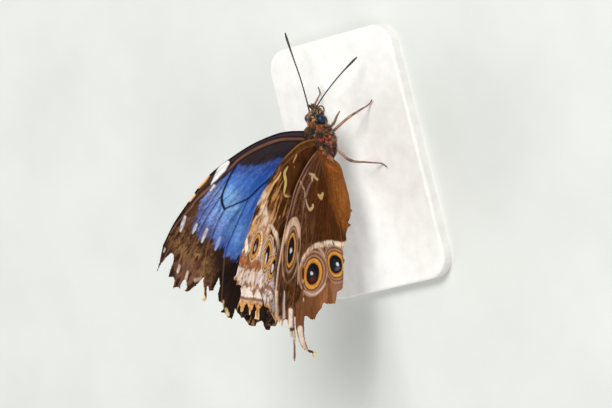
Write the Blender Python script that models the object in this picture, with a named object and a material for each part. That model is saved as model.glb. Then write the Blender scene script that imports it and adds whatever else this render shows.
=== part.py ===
"""Blue morpho butterfly standing on a flat display base, life size.

Lengths are written in millimetres as (right, tail, up) from the middle of the thorax,
and place() turns them into metres on the base. A wing is drawn flat as (tail, out)
points from its root, and a section of the open wing bends it into shape.
"""
import math

import bmesh
import bpy
import numpy as np
from mathutils import Vector
from mathutils.geometry import delaunay_2d_cdt

MM = 0.001
GAP = 0.3

# Display base
BASE_WIDTH = 46.0
BASE_LENGTH = 66.0
BASE_THICK = 3.0
BASE_CORNER = 6.0
BASE_EDGE = 0.6

# Where the body's axis runs
AXIS_HEIGHT = 9.5
BODY_AHEAD = 8.0

# Thorax, head and eyes: half sizes and middles
THORAX_HALF = (3.0, 4.3, 3.2)
THORAX_AT = (0.0, 0.9, 0.0)
HEAD_HALF = (2.35, 1.9, 2.0)
HEAD_AT = (0.0, -5.2, 0.0)
EYE_RADIUS = 1.3
# The head is turned a little to the right, so the left eye sits further forward
EYES_AT = {-1: (-1.95, -5.95, 0.4), 1: (2.0, -4.95, 0.35)}

# Abdomen
ABDOMEN_START = 4.6
ABDOMEN_END = 24.5
ABDOMEN_RADIUS = 2.55
ABDOMEN_UP = 0.6
ABDOMEN_RINGS = 7

# Wing sheet and veins
WING_THICK = 0.5
VEIN_RISE = 0.2
VEIN_HALF = 0.55
VEIN_STEP = 4.0
VEIN_MARGIN = VEIN_HALF + 0.25
BEND_STEPS = 24
LAYER_STEP = 1.25
FORE_ROOT = (1.2, 2.5)
LEFT_FORE_TAIL = -2.3
RIGHT_FORE_TAIL = 0.15
RIGHT_HIND_TAIL = RIGHT_FORE_TAIL + 2.6
LEFT_HIND_TAIL = LEFT_FORE_TAIL + 4.1
SWEEP = math.radians(10.5)
RIGHT_OPENING = math.radians(79.0)
LEFT_OPENING = (61.0, 0.8, -0.0012)

# Gutter that the hindwings fold round the abdomen
GUTTER_RADIUS = 3.6
GUTTER_TOP = math.radians(25.0)
GUTTER_JOIN = 5.0
GUTTER_LENGTH = 5.2
GUTTER_STARTS = 5.0

# Forewing front edge and back edge, flat, from the root
FORE_FRONT = [(-0.8, 0.7), (-1.7, 5.0), (-1.8, 9.0), (-0.7, 15.8), (1.6, 23.3), (5.0, 31.6),
              (10.4, 40.0), (14.3, 46.0), (18.5, 51.3)]
FORE_BACK = [(42.8, 24.3), (36.0, 20.0), (25.0, 13.5), (12.0, 5.8), (2.4, 0.5)]

# The right forewing has lost its rear corner
RIGHT_FORE_BACK = [(34.7, 21.5), (30.0, 16.8), (25.0, 13.5), (12.0, 5.8), (2.4, 0.5)]

# Worn outer edges, front to back
LEFT_FORE_EDGE = [(24.7, 56.4), (22.8, 54.0), (20.8, 49.0), (22.7, 48.8), (26.5, 52.3), (26.9, 50.4),
                  (29.6, 51.7), (30.0, 49.2), (28.3, 46.2), (31.1, 47.6), (31.2, 46.2), (30.2, 43.0),
                  (28.7, 39.8), (31.7, 40.7), (34.2, 42.2), (34.5, 41.0), (31.1, 39.1), (32.5, 38.6),
                  (29.8, 35.0), (35.7, 36.8), (38.3, 37.2), (39.9, 35.6), (40.5, 33.9), (38.2, 32.5),
                  (41.2, 31.0), (40.0, 28.8), (43.2, 27.0)]
RIGHT_FORE_EDGE = [(18.9, 52.9), (19.8, 52.2), (20.9, 52.6), (21.9, 51.6), (24.7, 54.2), (27.2, 54.7),
                   (26.0, 51.6), (29.2, 52.1), (27.2, 48.8), (30.5, 50.5), (31.2, 48.9), (28.9, 47.2),
                   (27.2, 44.4), (30.0, 43.9), (33.6, 43.1), (34.7, 41.4), (35.0, 37.5), (35.9, 33.4),
                   (35.1, 29.5), (36.5, 25.6)]

# Forewing veins
FORE_VEINS = [
    [(0.7, 1.0), (-0.2, 7.5), (0.6, 16.0), (2.6, 23.0), (6.7, 29.8), (11.7, 38.0), (17.4, 46.5), (24.0, 54.8)],
    [(3.6, 21.6), (5.5, 23.8), (9.4, 27.3), (11.3, 28.2), (13.4, 28.1)],
    [(1.0, 1.0), (3.5, 4.1), (6.1, 9.0), (8.3, 12.2), (10.1, 16.2), (12.2, 20.3), (12.9, 24.3), (13.4, 28.1)],
    [(5.5, 23.8), (13.0, 34.5), (20.5, 44.0), (29.2, 51.0)],
    [(9.4, 27.3), (17.0, 37.2), (24.0, 43.4), (31.0, 47.0)],
    [(13.4, 28.1), (18.3, 33.1), (24.0, 37.6), (34.0, 41.4)],
    [(12.2, 20.3), (19.5, 27.1), (25.0, 31.5), (36.6, 36.4)],
    [(9.0, 13.6), (15.0, 18.6), (25.0, 25.2), (41.0, 31.2)],
    [(1.4, 0.9), (10.0, 6.3), (22.0, 14.4), (33.0, 21.8), (43.0, 26.6)],
]

# Hindwing front edge, worn outer edge and inner edge
HIND_FRONT = [(-0.4, 2.4), (0.4, 4.8), (3.0, 9.6), (7.5, 15.9), (13.1, 21.2), (18.8, 26.1), (25.9, 31.4),
              (31.9, 35.2)]
RIGHT_HIND_EDGE = [(36.3, 37.0), (38.9, 37.6), (37.9, 36.2), (40.2, 35.5), (38.5, 33.6), (40.5, 33.0),
                   (43.4, 32.9), (48.6, 34.1), (49.1, 33.2), (43.3, 31.1), (40.4, 30.3), (44.6, 30.2),
                   (46.8, 29.3), (48.7, 26.0), (49.6, 25.3), (48.6, 24.6), (45.7, 27.5), (42.0, 26.7),
                   (39.3, 24.9), (40.6, 22.2), (39.0, 19.0), (37.3, 16.1), (38.1, 11.4), (35.5, 9.2),
                   (34.9, 6.5)]
LEFT_HIND_EDGE = [(33.5, 32.3), (35.4, 30.2), (39.2, 28.4), (39.9, 26.8), (38.0, 25.4), (39.3, 24.2),
                  (41.3, 24.1), (41.7, 22.9), (40.7, 22.3), (41.2, 21.0), (39.4, 19.2), (40.6, 16.8),
                  (38.6, 14.4), (38.4, 11.2), (35.4, 9.0), (34.7, 6.2)]
HIND_INNER = [(31.2, 4.8), (27.0, 2.8), (22.0, 0.4), (18.0, -1.8), (14.0, -4.6), (10.0, -5.4), (6.0, -4.2),
              (3.4, -2.4), (1.6, -0.2)]

# Hindwing veins
HIND_VEINS = [
    [(0.8, 3.4), (4.2, 9.6), (10.2, 16.9), (18.0, 23.6), (26.0, 30.0), (33.0, 34.8)],
    [(5.4, 8.6), (10.5, 15.3), (16.0, 20.4), (22.6, 26.6), (29.1, 30.4), (38.2, 34.8)],
    [(1.2, 2.2), (6.4, 8.0), (11.3, 13.4), (17.0, 17.8), (24.0, 21.9), (33.0, 27.6), (41.4, 32.2)],
    [(11.3, 13.4), (18.0, 16.0), (26.0, 19.8), (34.0, 25.0), (41.6, 30.4), (48.6, 33.8)],
    [(7.6, 6.4), (13.5, 9.8), (21.0, 14.6), (29.0, 21.3), (36.0, 25.4), (44.0, 28.2)],
    [(1.4, 1.6), (7.6, 6.4), (16.0, 8.6), (24.0, 10.6), (31.0, 12.0), (38.8, 15.6)],
    [(3.4, 2.8), (9.0, 2.6), (16.0, 2.2), (23.0, 2.6), (34.0, 7.4)],
    [(2.2, 0.4), (7.0, -1.6), (13.0, -2.2), (20.0, 0.6)],
]

# Feelers, mouth and legs: points from the body outwards, with the radius at each
ANTENNA_RADII = (0.30, 0.26, 0.25, 0.26, 0.42, 0.3)
LEFT_ANTENNA = [(-0.7, -6.2, 1.2), (-1.3, -9.6, 0.5), (-2.2, -16.0, -0.1), (-3.5, -22.0, -0.6),
                (-4.6, -26.8, -1.1), (-5.0, -28.6, -1.4)]
RIGHT_ANTENNA = [(0.7, -6.2, 1.4), (3.1, -9.0, 0.9), (6.6, -12.4, -1.2), (9.9, -15.2, -3.4),
                 (12.5, -17.2, -5.3), (13.6, -18.0, -6.1)]
PALP = [(0.75, -6.2, -0.9), (0.8, -7.6, -0.9), (0.75, -8.6, 0.0), (0.65, -9.2, 1.0)]
PALP_RADII = (0.45, 0.5, 0.42, 0.2)
COIL_AT = (0.0, -7.3, -2.5)
COIL_RADIUS = 1.35
COIL_WIRE = 0.25
COIL_TURNS = 1.4
COIL_CORE = 0.35
COIL_START = 0.6
COIL_POINTS = 16
FORELEG = [(1.0, -2.2, -2.4), (2.2, -3.4, -3.6), (2.9, -4.7, -4.3), (3.5, -5.8, -5.1)]
FORELEG_RADII = (0.4, 0.4, 0.32, 0.25)
LEG_RADII = (0.5, 0.5, 0.36, 0.3, 0.26)
FOOT_HALF = 0.27
FOOT_UP = GAP + FOOT_HALF - AXIS_HEIGHT
RIGHT_MIDLEG = [(1.4, -0.9, -2.2), (7.4, -3.6, -3.6), (9.6, -5.0, -7.0), (10.7, -5.7, FOOT_UP + 0.1),
                (12.0, -6.6, FOOT_UP)]
RIGHT_HINDLEG = [(1.5, 2.0, -2.0), (6.0, 6.7, -2.0), (8.2, 8.3, -5.4), (9.8, 9.5, FOOT_UP + 0.1),
                 (11.3, 10.6, FOOT_UP)]
LEFT_MIDLEG = [(-1.4, -1.2, -2.2), (-5.2, -7.0, -3.8), (-5.6, -10.2, -7.2), (-5.8, -11.6, FOOT_UP + 0.1),
               (-6.0, -13.2, FOOT_UP)]
LEFT_HINDLEG = [(-1.5, 2.0, -2.0), (-6.2, 5.6, -2.2), (-8.4, 7.2, -5.6), (-9.6, 8.4, FOOT_UP + 0.1),
                (-10.8, 10.0, FOOT_UP)]


def place(point):
    """(right, tail, up) in millimetres from the thorax to metres on the base."""
    right, tail, up = (float(value) for value in point)
    return Vector((-right, tail - BODY_AHEAD, up + AXIS_HEIGHT + BASE_THICK)) * MM


def clear_scene():
    for obj in list(bpy.data.objects):
        bpy.data.objects.remove(obj)


def new_collection(name):
    group = bpy.data.collections.new(name)
    bpy.context.scene.collection.children.link(group)
    return group


def make_material(name, colour, roughness):
    material = bpy.data.materials.new(name)
    material.use_nodes = True
    shader = material.node_tree.nodes["Principled BSDF"]
    shader.inputs["Base Color"].default_value = (*colour, 1.0)
    shader.inputs["Roughness"].default_value = roughness
    return material


def add_object(name, mesh, group, material=None):
    obj = bpy.data.objects.new(name, mesh)
    group.objects.link(obj)
    if material:
        mesh.materials.append(material)
    return obj


def mesh_from_bmesh(name, shape):
    bmesh.ops.recalc_face_normals(shape, faces=shape.faces)
    if shape.calc_volume(signed=True) < 0:
        bmesh.ops.reverse_faces(shape, faces=shape.faces)
    mesh = bpy.data.meshes.new(name)
    shape.to_mesh(mesh)
    shape.free()
    mesh.shade_smooth()
    mesh.set_sharp_from_angle(angle=math.radians(50.0))
    return mesh


def ellipsoid_mesh(name, middle, half, grow, sides, rings):
    """A ball stretched to the half sizes and grown on every side, its poles along the body."""
    shape = bmesh.new()
    bmesh.ops.create_uvsphere(shape, u_segments=sides, v_segments=rings, radius=1.0)
    for vert in shape.verts:
        across, depth, along = vert.co
        vert.co = place((middle[0] + across * (half[0] + grow),
                         middle[1] + along * (half[1] + grow),
                         middle[2] + depth * (half[2] + grow)))
    return mesh_from_bmesh(name, shape)


def smooth_route(points, per_span=4):
    """A Catmull-Rom curve through the points, of any dimension."""
    route = []
    last = len(points) - 1
    for span in range(last):
        before, start, end, after = (np.array(points[min(max(span + k, 0), last)]) for k in (-1, 0, 1, 2))
        for step in range(per_span):
            x = step / per_span
            route.append(0.5 * (2 * start + (end - before) * x
                                + (2 * before - 5 * start + 4 * end - after) * x ** 2
                                + (3 * start - before - 3 * end + after) * x ** 3))
    route.append(np.array(points[-1], float))
    return route


def tube_mesh(name, points, radii, sides, per_span):
    """A closed tube through the points, its radius following the radii."""
    stations = smooth_route([(*point, radius) for point, radius in zip(points, radii)], per_span)
    shape = bmesh.new()
    rings = []
    side = Vector((0.0, 0.0, 1.0))
    for index, station in enumerate(stations):
        here = place(station[:3])
        ahead = place(stations[min(index + 1, len(stations) - 1)][:3])
        behind = place(stations[max(index - 1, 0)][:3])
        along = (ahead - behind).normalized()
        side = (side - along * side.dot(along)).normalized()
        other = along.cross(side)
        radius = float(station[3]) * MM
        ring = []
        for k in range(sides):
            angle = math.tau * k / sides
            ring.append(shape.verts.new(here + radius * (side * math.cos(angle) + other * math.sin(angle))))
        rings.append(ring)
    for first, second in zip(rings, rings[1:]):
        for k in range(sides):
            shape.faces.new((first[k], first[(k + 1) % sides], second[(k + 1) % sides], second[k]))
    shape.faces.new(rings[0][::-1])
    shape.faces.new(rings[-1])
    return mesh_from_bmesh(name, shape)


def keep_largest(obj):
    """Drops every loose shell but the one with the most volume."""
    shape = bmesh.new()
    shape.from_mesh(obj.data)
    left = set(shape.verts)
    shells = []
    while left:
        todo = [left.pop()]
        shell = set(todo)
        while todo:
            for edge in todo.pop().link_edges:
                for vert in edge.verts:
                    if vert in left:
                        left.remove(vert)
                        shell.add(vert)
                        todo.append(vert)
        shells.append(shell)
    shells.sort(key=len)
    for shell in shells[:-1]:
        bmesh.ops.delete(shape, geom=list(shell), context="VERTS")
    shape.to_mesh(obj.data)
    shape.free()


def cut(obj, cutter_mesh, cutters):
    """Takes the cutter's room out of the object and keeps the largest piece."""
    cutter = add_object("cutter_" + obj.name + "_" + cutter_mesh.name, cutter_mesh, cutters)
    cutter.hide_render = True
    cutter.display_type = "WIRE"
    boolean = obj.modifiers.new("clearance", "BOOLEAN")
    boolean.operation = "DIFFERENCE"
    boolean.solver = "EXACT"
    boolean.object = cutter
    graph = bpy.context.evaluated_depsgraph_get()
    mesh = bpy.data.meshes.new_from_object(obj.evaluated_get(graph))
    obj.modifiers.clear()
    obj.data = mesh
    keep_largest(obj)


def thorax_room():
    """The thorax with its clearance, as a cutter."""
    return ellipsoid_mesh("thorax_room", THORAX_AT, THORAX_HALF, GAP, 24, 14)


def eye_ball(name, side, grow, sides):
    return ellipsoid_mesh(name, EYES_AT[side], (EYE_RADIUS,) * 3, grow, sides, 12)


def opening_angle(side, out):
    """The angle of the wing's section above level, at a distance out from the root."""
    if side > 0:
        return RIGHT_OPENING
    start, rise, curve = LEFT_OPENING
    return math.radians(start + rise * out + curve * out * out)


def bend(side, out):
    """(right-hand distance, height, angle) along the section of the open wing."""
    total_right = 0.0
    total_up = 0.0
    for step in range(BEND_STEPS):
        angle = opening_angle(side, out * (step + 0.5) / BEND_STEPS)
        total_right += math.cos(angle) * out / BEND_STEPS
        total_up += math.sin(angle) * out / BEND_STEPS
    return FORE_ROOT[0] + total_right, FORE_ROOT[1] + total_up, opening_angle(side, out)


def fore_surface(side, tail, out):
    """A point of the flat forewing on the open one: side is +1 on the right, -1 on the left."""
    if side > 0:
        turned = (tail * math.cos(SWEEP) + out * math.sin(SWEEP), out * math.cos(SWEEP) - tail * math.sin(SWEEP))
        start = RIGHT_FORE_TAIL
    else:
        turned = (tail, out)
        start = LEFT_FORE_TAIL
    right, up, _ = bend(side, turned[1])
    return np.array((side * right, start + turned[0], up))


def layer_below(side, out):
    """The section of the hindwing where it lies under the forewing."""
    right, up, angle = bend(side, out)
    return np.array((right + LAYER_STEP * math.sin(angle), up - LAYER_STEP * math.cos(angle))), angle


def gutter(side, out):
    """The section of the hindwing at the abdomen: round its side, then up to the open wing."""
    first = GUTTER_JOIN - GUTTER_LENGTH
    if out >= GUTTER_JOIN:
        return layer_below(side, out)[0]
    if out <= first:
        angle = GUTTER_TOP + (out - first) / GUTTER_RADIUS
        return np.array((GUTTER_RADIUS * math.cos(angle), ABDOMEN_UP + GUTTER_RADIUS * math.sin(angle)))
    low = np.array((GUTTER_RADIUS * math.cos(GUTTER_TOP), ABDOMEN_UP + GUTTER_RADIUS * math.sin(GUTTER_TOP)))
    low_way = np.array((-math.sin(GUTTER_TOP), math.cos(GUTTER_TOP))) * GUTTER_LENGTH
    high, angle = layer_below(side, GUTTER_JOIN)
    high_way = np.array((math.cos(angle), math.sin(angle))) * GUTTER_LENGTH
    x = (out - first) / GUTTER_LENGTH
    return ((2 * x ** 3 - 3 * x ** 2 + 1) * low + (x ** 3 - 2 * x ** 2 + x) * low_way
            + (3 * x ** 2 - 2 * x ** 3) * high + (x ** 3 - x ** 2) * high_way)


def ease(x):
    x = min(max(x, 0.0), 1.0)
    return x * x * (3 - 2 * x)


def hind_surface(side, tail, out):
    """A point of the flat hindwing on the open one."""
    start = RIGHT_HIND_TAIL if side > 0 else LEFT_HIND_TAIL
    plain = layer_below(side, out)[0]
    folded = gutter(side, out)
    right, up = plain + (folded - plain) * ease(tail / GUTTER_STARTS)
    return np.array((side * right, start + tail, up))


def distance_to_line(point, line):
    """Distance from a flat point to a line of points, and how far along the line it is."""
    line = np.asarray(line)
    starts = line[:-1]
    spans = line[1:] - starts
    along = np.clip(((point - starts) * spans).sum(1) / (spans ** 2).sum(1), 0.0, 1.0)
    away = np.linalg.norm(starts + spans * along[:, None] - point, axis=1)
    best = int(away.argmin())
    return away[best], (best + along[best]) / len(spans)


def inside(point, outline):
    outline = np.asarray(outline)
    nexts = np.roll(outline, -1, axis=0)
    crosses = (outline[:, 1] > point[1]) != (nexts[:, 1] > point[1])
    rise = np.where(nexts[:, 1] == outline[:, 1], 1.0, nexts[:, 1] - outline[:, 1])
    at = outline[:, 0] + (point[1] - outline[:, 1]) * (nexts[:, 0] - outline[:, 0]) / rise
    return bool((crosses & (point[0] < at)).sum() % 2)


def spaced(points, step):
    """The smooth route through flat points, resampled at about one step."""
    route = np.array(smooth_route(points, 8))
    lengths = np.concatenate([[0.0], np.cumsum(np.linalg.norm(np.diff(route, axis=0), axis=1))])
    count = max(2, int(round(lengths[-1] / step)) + 1)
    wanted = np.linspace(0.0, lengths[-1], count)
    return np.stack([np.interp(wanted, lengths, route[:, axis]) for axis in (0, 1)], axis=1)


def vein_within(points, outline, margin):
    """The part of a vein from its start that stays inside the outline."""
    closed = np.vstack([outline, outline[:1]])
    kept = []
    for point in spaced(points, VEIN_STEP):
        if not inside(point, outline) or distance_to_line(point, closed)[0] < margin:
            if kept:
                break
            continue
        kept.append(point)
    return np.array(kept)


def wing_flat(front, edge, back, veins):
    """Flat points, triangles and the vein rise at each point of one wing."""
    outline = np.vstack([spaced(front, VEIN_STEP), np.array(edge), spaced(back, VEIN_STEP)])
    lines = [vein_within(vein, outline, VEIN_MARGIN) for vein in veins]
    lines = [line for line in lines if len(line) > 1]
    points = [tuple(point) for point in outline]
    edges = [(k, (k + 1) % len(outline)) for k in range(len(outline))]
    for line in lines:
        first = len(points)
        points += [tuple(point) for point in line]
        edges += [(first + k, first + k + 1) for k in range(len(line) - 1)]
        for index, point in enumerate(line):
            ahead = line[min(index + 1, len(line) - 1)] - line[max(index - 1, 0)]
            across = np.array((-ahead[1], ahead[0])) / np.linalg.norm(ahead) * VEIN_HALF
            for foot in (point + across, point - across):
                near = [distance_to_line(foot, other)[0] for other in lines if other is not line]
                if min(near) > VEIN_HALF * 0.6:
                    points.append(tuple(foot))
    result = delaunay_2d_cdt([Vector(point) for point in points], edges, [], 1, 1e-4)
    flat = np.array([tuple(vert) for vert in result[0]])
    faces = [face for face in result[2] if inside(flat[list(face)].mean(0), outline)]
    rises = []
    for point in flat:
        rise = 0.0
        for line in lines:
            away, along = distance_to_line(point, line)
            fade = min(1.0, (1.0 - along) * 4.0)
            rise = max(rise, VEIN_RISE * fade * (1.0 - away / VEIN_HALF))
        rises.append(rise)
    return flat, faces, rises


def wing_mesh(name, surface, side, front, edge, back, veins):
    """The bent wing as one closed sheet, split into the same triangles on both faces."""
    flat, faces, rises = wing_flat(front, edge, back, veins)
    shape = bmesh.new()
    upper = []
    lower = []
    step = 0.05
    for (tail, out), rise in zip(flat, rises):
        here = surface(side, tail, out)
        along = surface(side, tail + step, out) - here
        across = surface(side, tail, out + step) - here
        normal = np.cross(along, across)
        normal /= np.linalg.norm(normal)
        reach = normal * (WING_THICK / 2 + rise)
        upper.append(shape.verts.new(place(here + reach)))
        lower.append(shape.verts.new(place(here - reach)))
    uses = {}
    for a, b, c in faces:
        shape.faces.new((upper[a], upper[b], upper[c]))
        shape.faces.new((lower[c], lower[b], lower[a]))
        for start, end in ((a, b), (b, c), (c, a)):
            uses[(start, end)] = True
    for start, end in uses:
        if (end, start) in uses:
            continue
        shape.faces.new((upper[start], lower[start], lower[end]))
        shape.faces.new((upper[start], lower[end], upper[end]))
    bmesh.ops.delete(shape, geom=[vert for vert in shape.verts if not vert.link_faces], context="VERTS")
    return mesh_from_bmesh(name, shape)


def build_base(group):
    shape = bmesh.new()
    bmesh.ops.create_cube(shape, size=1.0)
    size = Vector((BASE_WIDTH, BASE_LENGTH, BASE_THICK)) * MM
    for vert in shape.verts:
        vert.co = Vector((vert.co.x * size.x, vert.co.y * size.y, (vert.co.z + 0.5) * size.z))
    uprights = [edge for edge in shape.edges if abs(edge.verts[0].co.z - edge.verts[1].co.z) > 0.5 * size.z]
    bmesh.ops.bevel(shape, geom=uprights, offset=BASE_CORNER * MM, segments=6, affect="EDGES", profile=0.5)
    rim = [edge for edge in shape.edges if min(vert.co.z for vert in edge.verts) > 0.9 * size.z]
    bmesh.ops.bevel(shape, geom=rim, offset=BASE_EDGE * MM, segments=2, affect="EDGES", profile=0.5)
    material = make_material("base_matte", (0.78, 0.77, 0.74), 0.6)
    add_object("stand_base", mesh_from_bmesh("stand_base", shape), group, material)


def build_thorax(group):
    material = make_material("thorax_hair", (0.10, 0.06, 0.04), 0.8)
    add_object("thorax", ellipsoid_mesh("thorax", THORAX_AT, THORAX_HALF, 0.0, 24, 14), group, material)


def abdomen_radius(x):
    """Radius along the abdomen, x from 0 at the thorax to 1 at its tip, with a groove at each ring."""
    plain = ABDOMEN_RADIUS * (0.62 + 0.38 * math.sin(math.pi * min(x / 0.8, 1.0) ** 0.8)) * (1 - x ** 5) ** 0.5
    groove = abs(math.sin(math.pi * ABDOMEN_RINGS * x))
    return max(0.25, plain * (0.95 + 0.05 * groove))


def build_abdomen(group, cutters):
    count = ABDOMEN_RINGS * 4
    points = []
    radii = []
    for k in range(count + 1):
        x = k / count
        points.append((0.0, ABDOMEN_START + (ABDOMEN_END - ABDOMEN_START) * x, ABDOMEN_UP - 0.5 * x * x))
        radii.append(abdomen_radius(x))
    material = make_material("abdomen_skin", (0.12, 0.08, 0.06), 0.75)
    mesh = tube_mesh("abdomen", points, radii, sides=18, per_span=1)
    obj = add_object("abdomen", mesh, group, material)
    cut(obj, thorax_room(), cutters)


def clear_of_eyes(obj, cutters):
    for side in (-1, 1):
        cut(obj, eye_ball("eye_room", side, GAP, 20), cutters)


def clear_of_head(obj, cutters):
    cut(obj, ellipsoid_mesh("head_room", HEAD_AT, HEAD_HALF, GAP, 20, 12), cutters)
    clear_of_eyes(obj, cutters)


def build_head(group, cutters):
    material = make_material("head_hair", (0.14, 0.09, 0.06), 0.8)
    obj = add_object("head", ellipsoid_mesh("head", HEAD_AT, HEAD_HALF, 0.0, 20, 12), group, material)
    cut(obj, thorax_room(), cutters)
    clear_of_eyes(obj, cutters)


def build_eyes(group):
    material = make_material("eye_gloss", (0.03, 0.05, 0.08), 0.2)
    for name, side in (("eye_left", -1), ("eye_right", 1)):
        add_object(name, eye_ball(name, side, 0.0, 18), group, material)


def build_mouth(group, cutters):
    palps = make_material("palp_hair", (0.30, 0.17, 0.10), 0.8)
    for name, side in (("palp_left", -1), ("palp_right", 1)):
        points = [(side * right, tail, up) for right, tail, up in PALP]
        obj = add_object(name, tube_mesh(name, points, PALP_RADII, 8, 3), group, palps)
        clear_of_head(obj, cutters)
    turns = []
    for k in range(COIL_POINTS + 1):
        x = k / COIL_POINTS
        angle = math.tau * COIL_TURNS * x + COIL_START
        radius = COIL_RADIUS + (COIL_CORE - COIL_RADIUS) * x
        turns.append((0.0, COIL_AT[1] + radius * math.cos(angle), COIL_AT[2] + radius * math.sin(angle)))
    tongue = make_material("proboscis_skin", (0.20, 0.12, 0.07), 0.4)
    obj = add_object("proboscis", tube_mesh("proboscis", turns, [COIL_WIRE] * len(turns), 8, 1), group, tongue)
    clear_of_head(obj, cutters)


def build_antennae(group, cutters):
    material = make_material("antenna_skin", (0.05, 0.04, 0.035), 0.5)
    for name, points in (("antenna_left", LEFT_ANTENNA), ("antenna_right", RIGHT_ANTENNA)):
        obj = add_object(name, tube_mesh(name, points, ANTENNA_RADII, 8, 4), group, material)
        clear_of_head(obj, cutters)


def build_legs(group, cutters):
    material = make_material("leg_skin", (0.25, 0.15, 0.10), 0.6)
    legs = [("midleg_left", LEFT_MIDLEG, LEG_RADII), ("midleg_right", RIGHT_MIDLEG, LEG_RADII),
            ("hindleg_left", LEFT_HINDLEG, LEG_RADII), ("hindleg_right", RIGHT_HINDLEG, LEG_RADII)]
    for name, side in (("foreleg_left", -1), ("foreleg_right", 1)):
        legs.append((name, [(side * right, tail, up) for right, tail, up in FORELEG], FORELEG_RADII))
    for name, points, radii in legs:
        obj = add_object(name, tube_mesh(name, points, radii, 8, 3), group, material)
        cut(obj, thorax_room(), cutters)


def build_wings(group, cutters):
    blue = make_material("forewing_scales", (0.05, 0.16, 0.55), 0.4)
    brown = make_material("hindwing_scales", (0.22, 0.13, 0.09), 0.6)
    plans = [("forewing_left", fore_surface, -1, FORE_FRONT, LEFT_FORE_EDGE, FORE_BACK, FORE_VEINS, blue),
             ("forewing_right", fore_surface, 1, FORE_FRONT, RIGHT_FORE_EDGE, RIGHT_FORE_BACK, FORE_VEINS, blue),
             ("hindwing_left", hind_surface, -1, HIND_FRONT, LEFT_HIND_EDGE, HIND_INNER, HIND_VEINS, brown),
             ("hindwing_right", hind_surface, 1, HIND_FRONT, RIGHT_HIND_EDGE, HIND_INNER, HIND_VEINS, brown)]
    for name, surface, side, front, edge, back, veins, material in plans:
        mesh = wing_mesh(name, surface, side, front, edge, back, veins)
        obj = add_object(name, mesh, group, material)
        cut(obj, thorax_room(), cutters)


def main():
    clear_scene()
    group = new_collection("morpho_butterfly")
    cutters = new_collection("cutters")
    build_base(group)
    build_thorax(group)
    build_abdomen(group, cutters)
    build_head(group, cutters)
    build_eyes(group)
    build_mouth(group, cutters)
    build_antennae(group, cutters)
    build_legs(group, cutters)
    build_wings(group, cutters)


main()
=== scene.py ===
import math

import bpy
import numpy as np
from mathutils import Matrix, Vector
from mathutils.geometry import delaunay_2d_cdt


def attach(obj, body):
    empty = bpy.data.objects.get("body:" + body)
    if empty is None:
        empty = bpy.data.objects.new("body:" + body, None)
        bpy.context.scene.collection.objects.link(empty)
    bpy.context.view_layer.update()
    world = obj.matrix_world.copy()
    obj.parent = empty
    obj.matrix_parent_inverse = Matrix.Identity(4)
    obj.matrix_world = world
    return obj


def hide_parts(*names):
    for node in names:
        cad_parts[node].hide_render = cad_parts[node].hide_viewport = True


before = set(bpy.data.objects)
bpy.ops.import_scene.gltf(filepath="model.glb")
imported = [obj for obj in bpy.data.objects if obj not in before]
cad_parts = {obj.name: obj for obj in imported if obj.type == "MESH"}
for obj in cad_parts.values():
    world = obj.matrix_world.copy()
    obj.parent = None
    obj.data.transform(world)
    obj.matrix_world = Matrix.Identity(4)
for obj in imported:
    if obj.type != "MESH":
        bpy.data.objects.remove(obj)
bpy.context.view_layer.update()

MM = 0.001

# The body's place over the floor, in millimetres
BASE_THICK = 3.0
AXIS_HEIGHT = 12.5
BODY_AHEAD = 8.0

# Camera: seen from the butterfly's upper right, rolled so that its head points up
VIEW_UP = math.radians(43.0)
VIEW_TILT = math.radians(14.0)
VIEW_DISTANCE = 1.5
VIEW_WIDTH = 0.153
VIEW_MIDDLE = (9.33, 14.9, 19.32)
SENSOR = 36.0

# Wing surfaces
FORE_ROOT = (1.2, 2.5)
LEFT_FORE_TAIL = -2.3
RIGHT_FORE_TAIL = 0.15
HIND_BEHIND = 2.6
LEFT_HIND_BEHIND = 4.1
SWEEP = math.radians(10.5)
RIGHT_OPENING = math.radians(79.0)
LEFT_OPENING = (61.0, 0.8, -0.0012)
BEND_STEPS = 24
LAYER_STEP = 1.25
ABDOMEN_UP = 0.6
GUTTER_RADIUS = 3.6
GUTTER_TOP = math.radians(25.0)
GUTTER_JOIN = 5.0
GUTTER_LENGTH = 5.2
GUTTER_STARTS = 5.0
WING_PITCH = 0.24
ROW_SHARE = 0.866
WING_HALF = 0.09
RIDGE_HEIGHT = 0.11
RIDGE_REACH = 0.22
PLEAT_DEPTH = 0.28
PLEAT_REACH = 2.6
RIPPLE_DEPTH = 0.22
FAN_RIPPLE_DEPTH = 0.12

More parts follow.
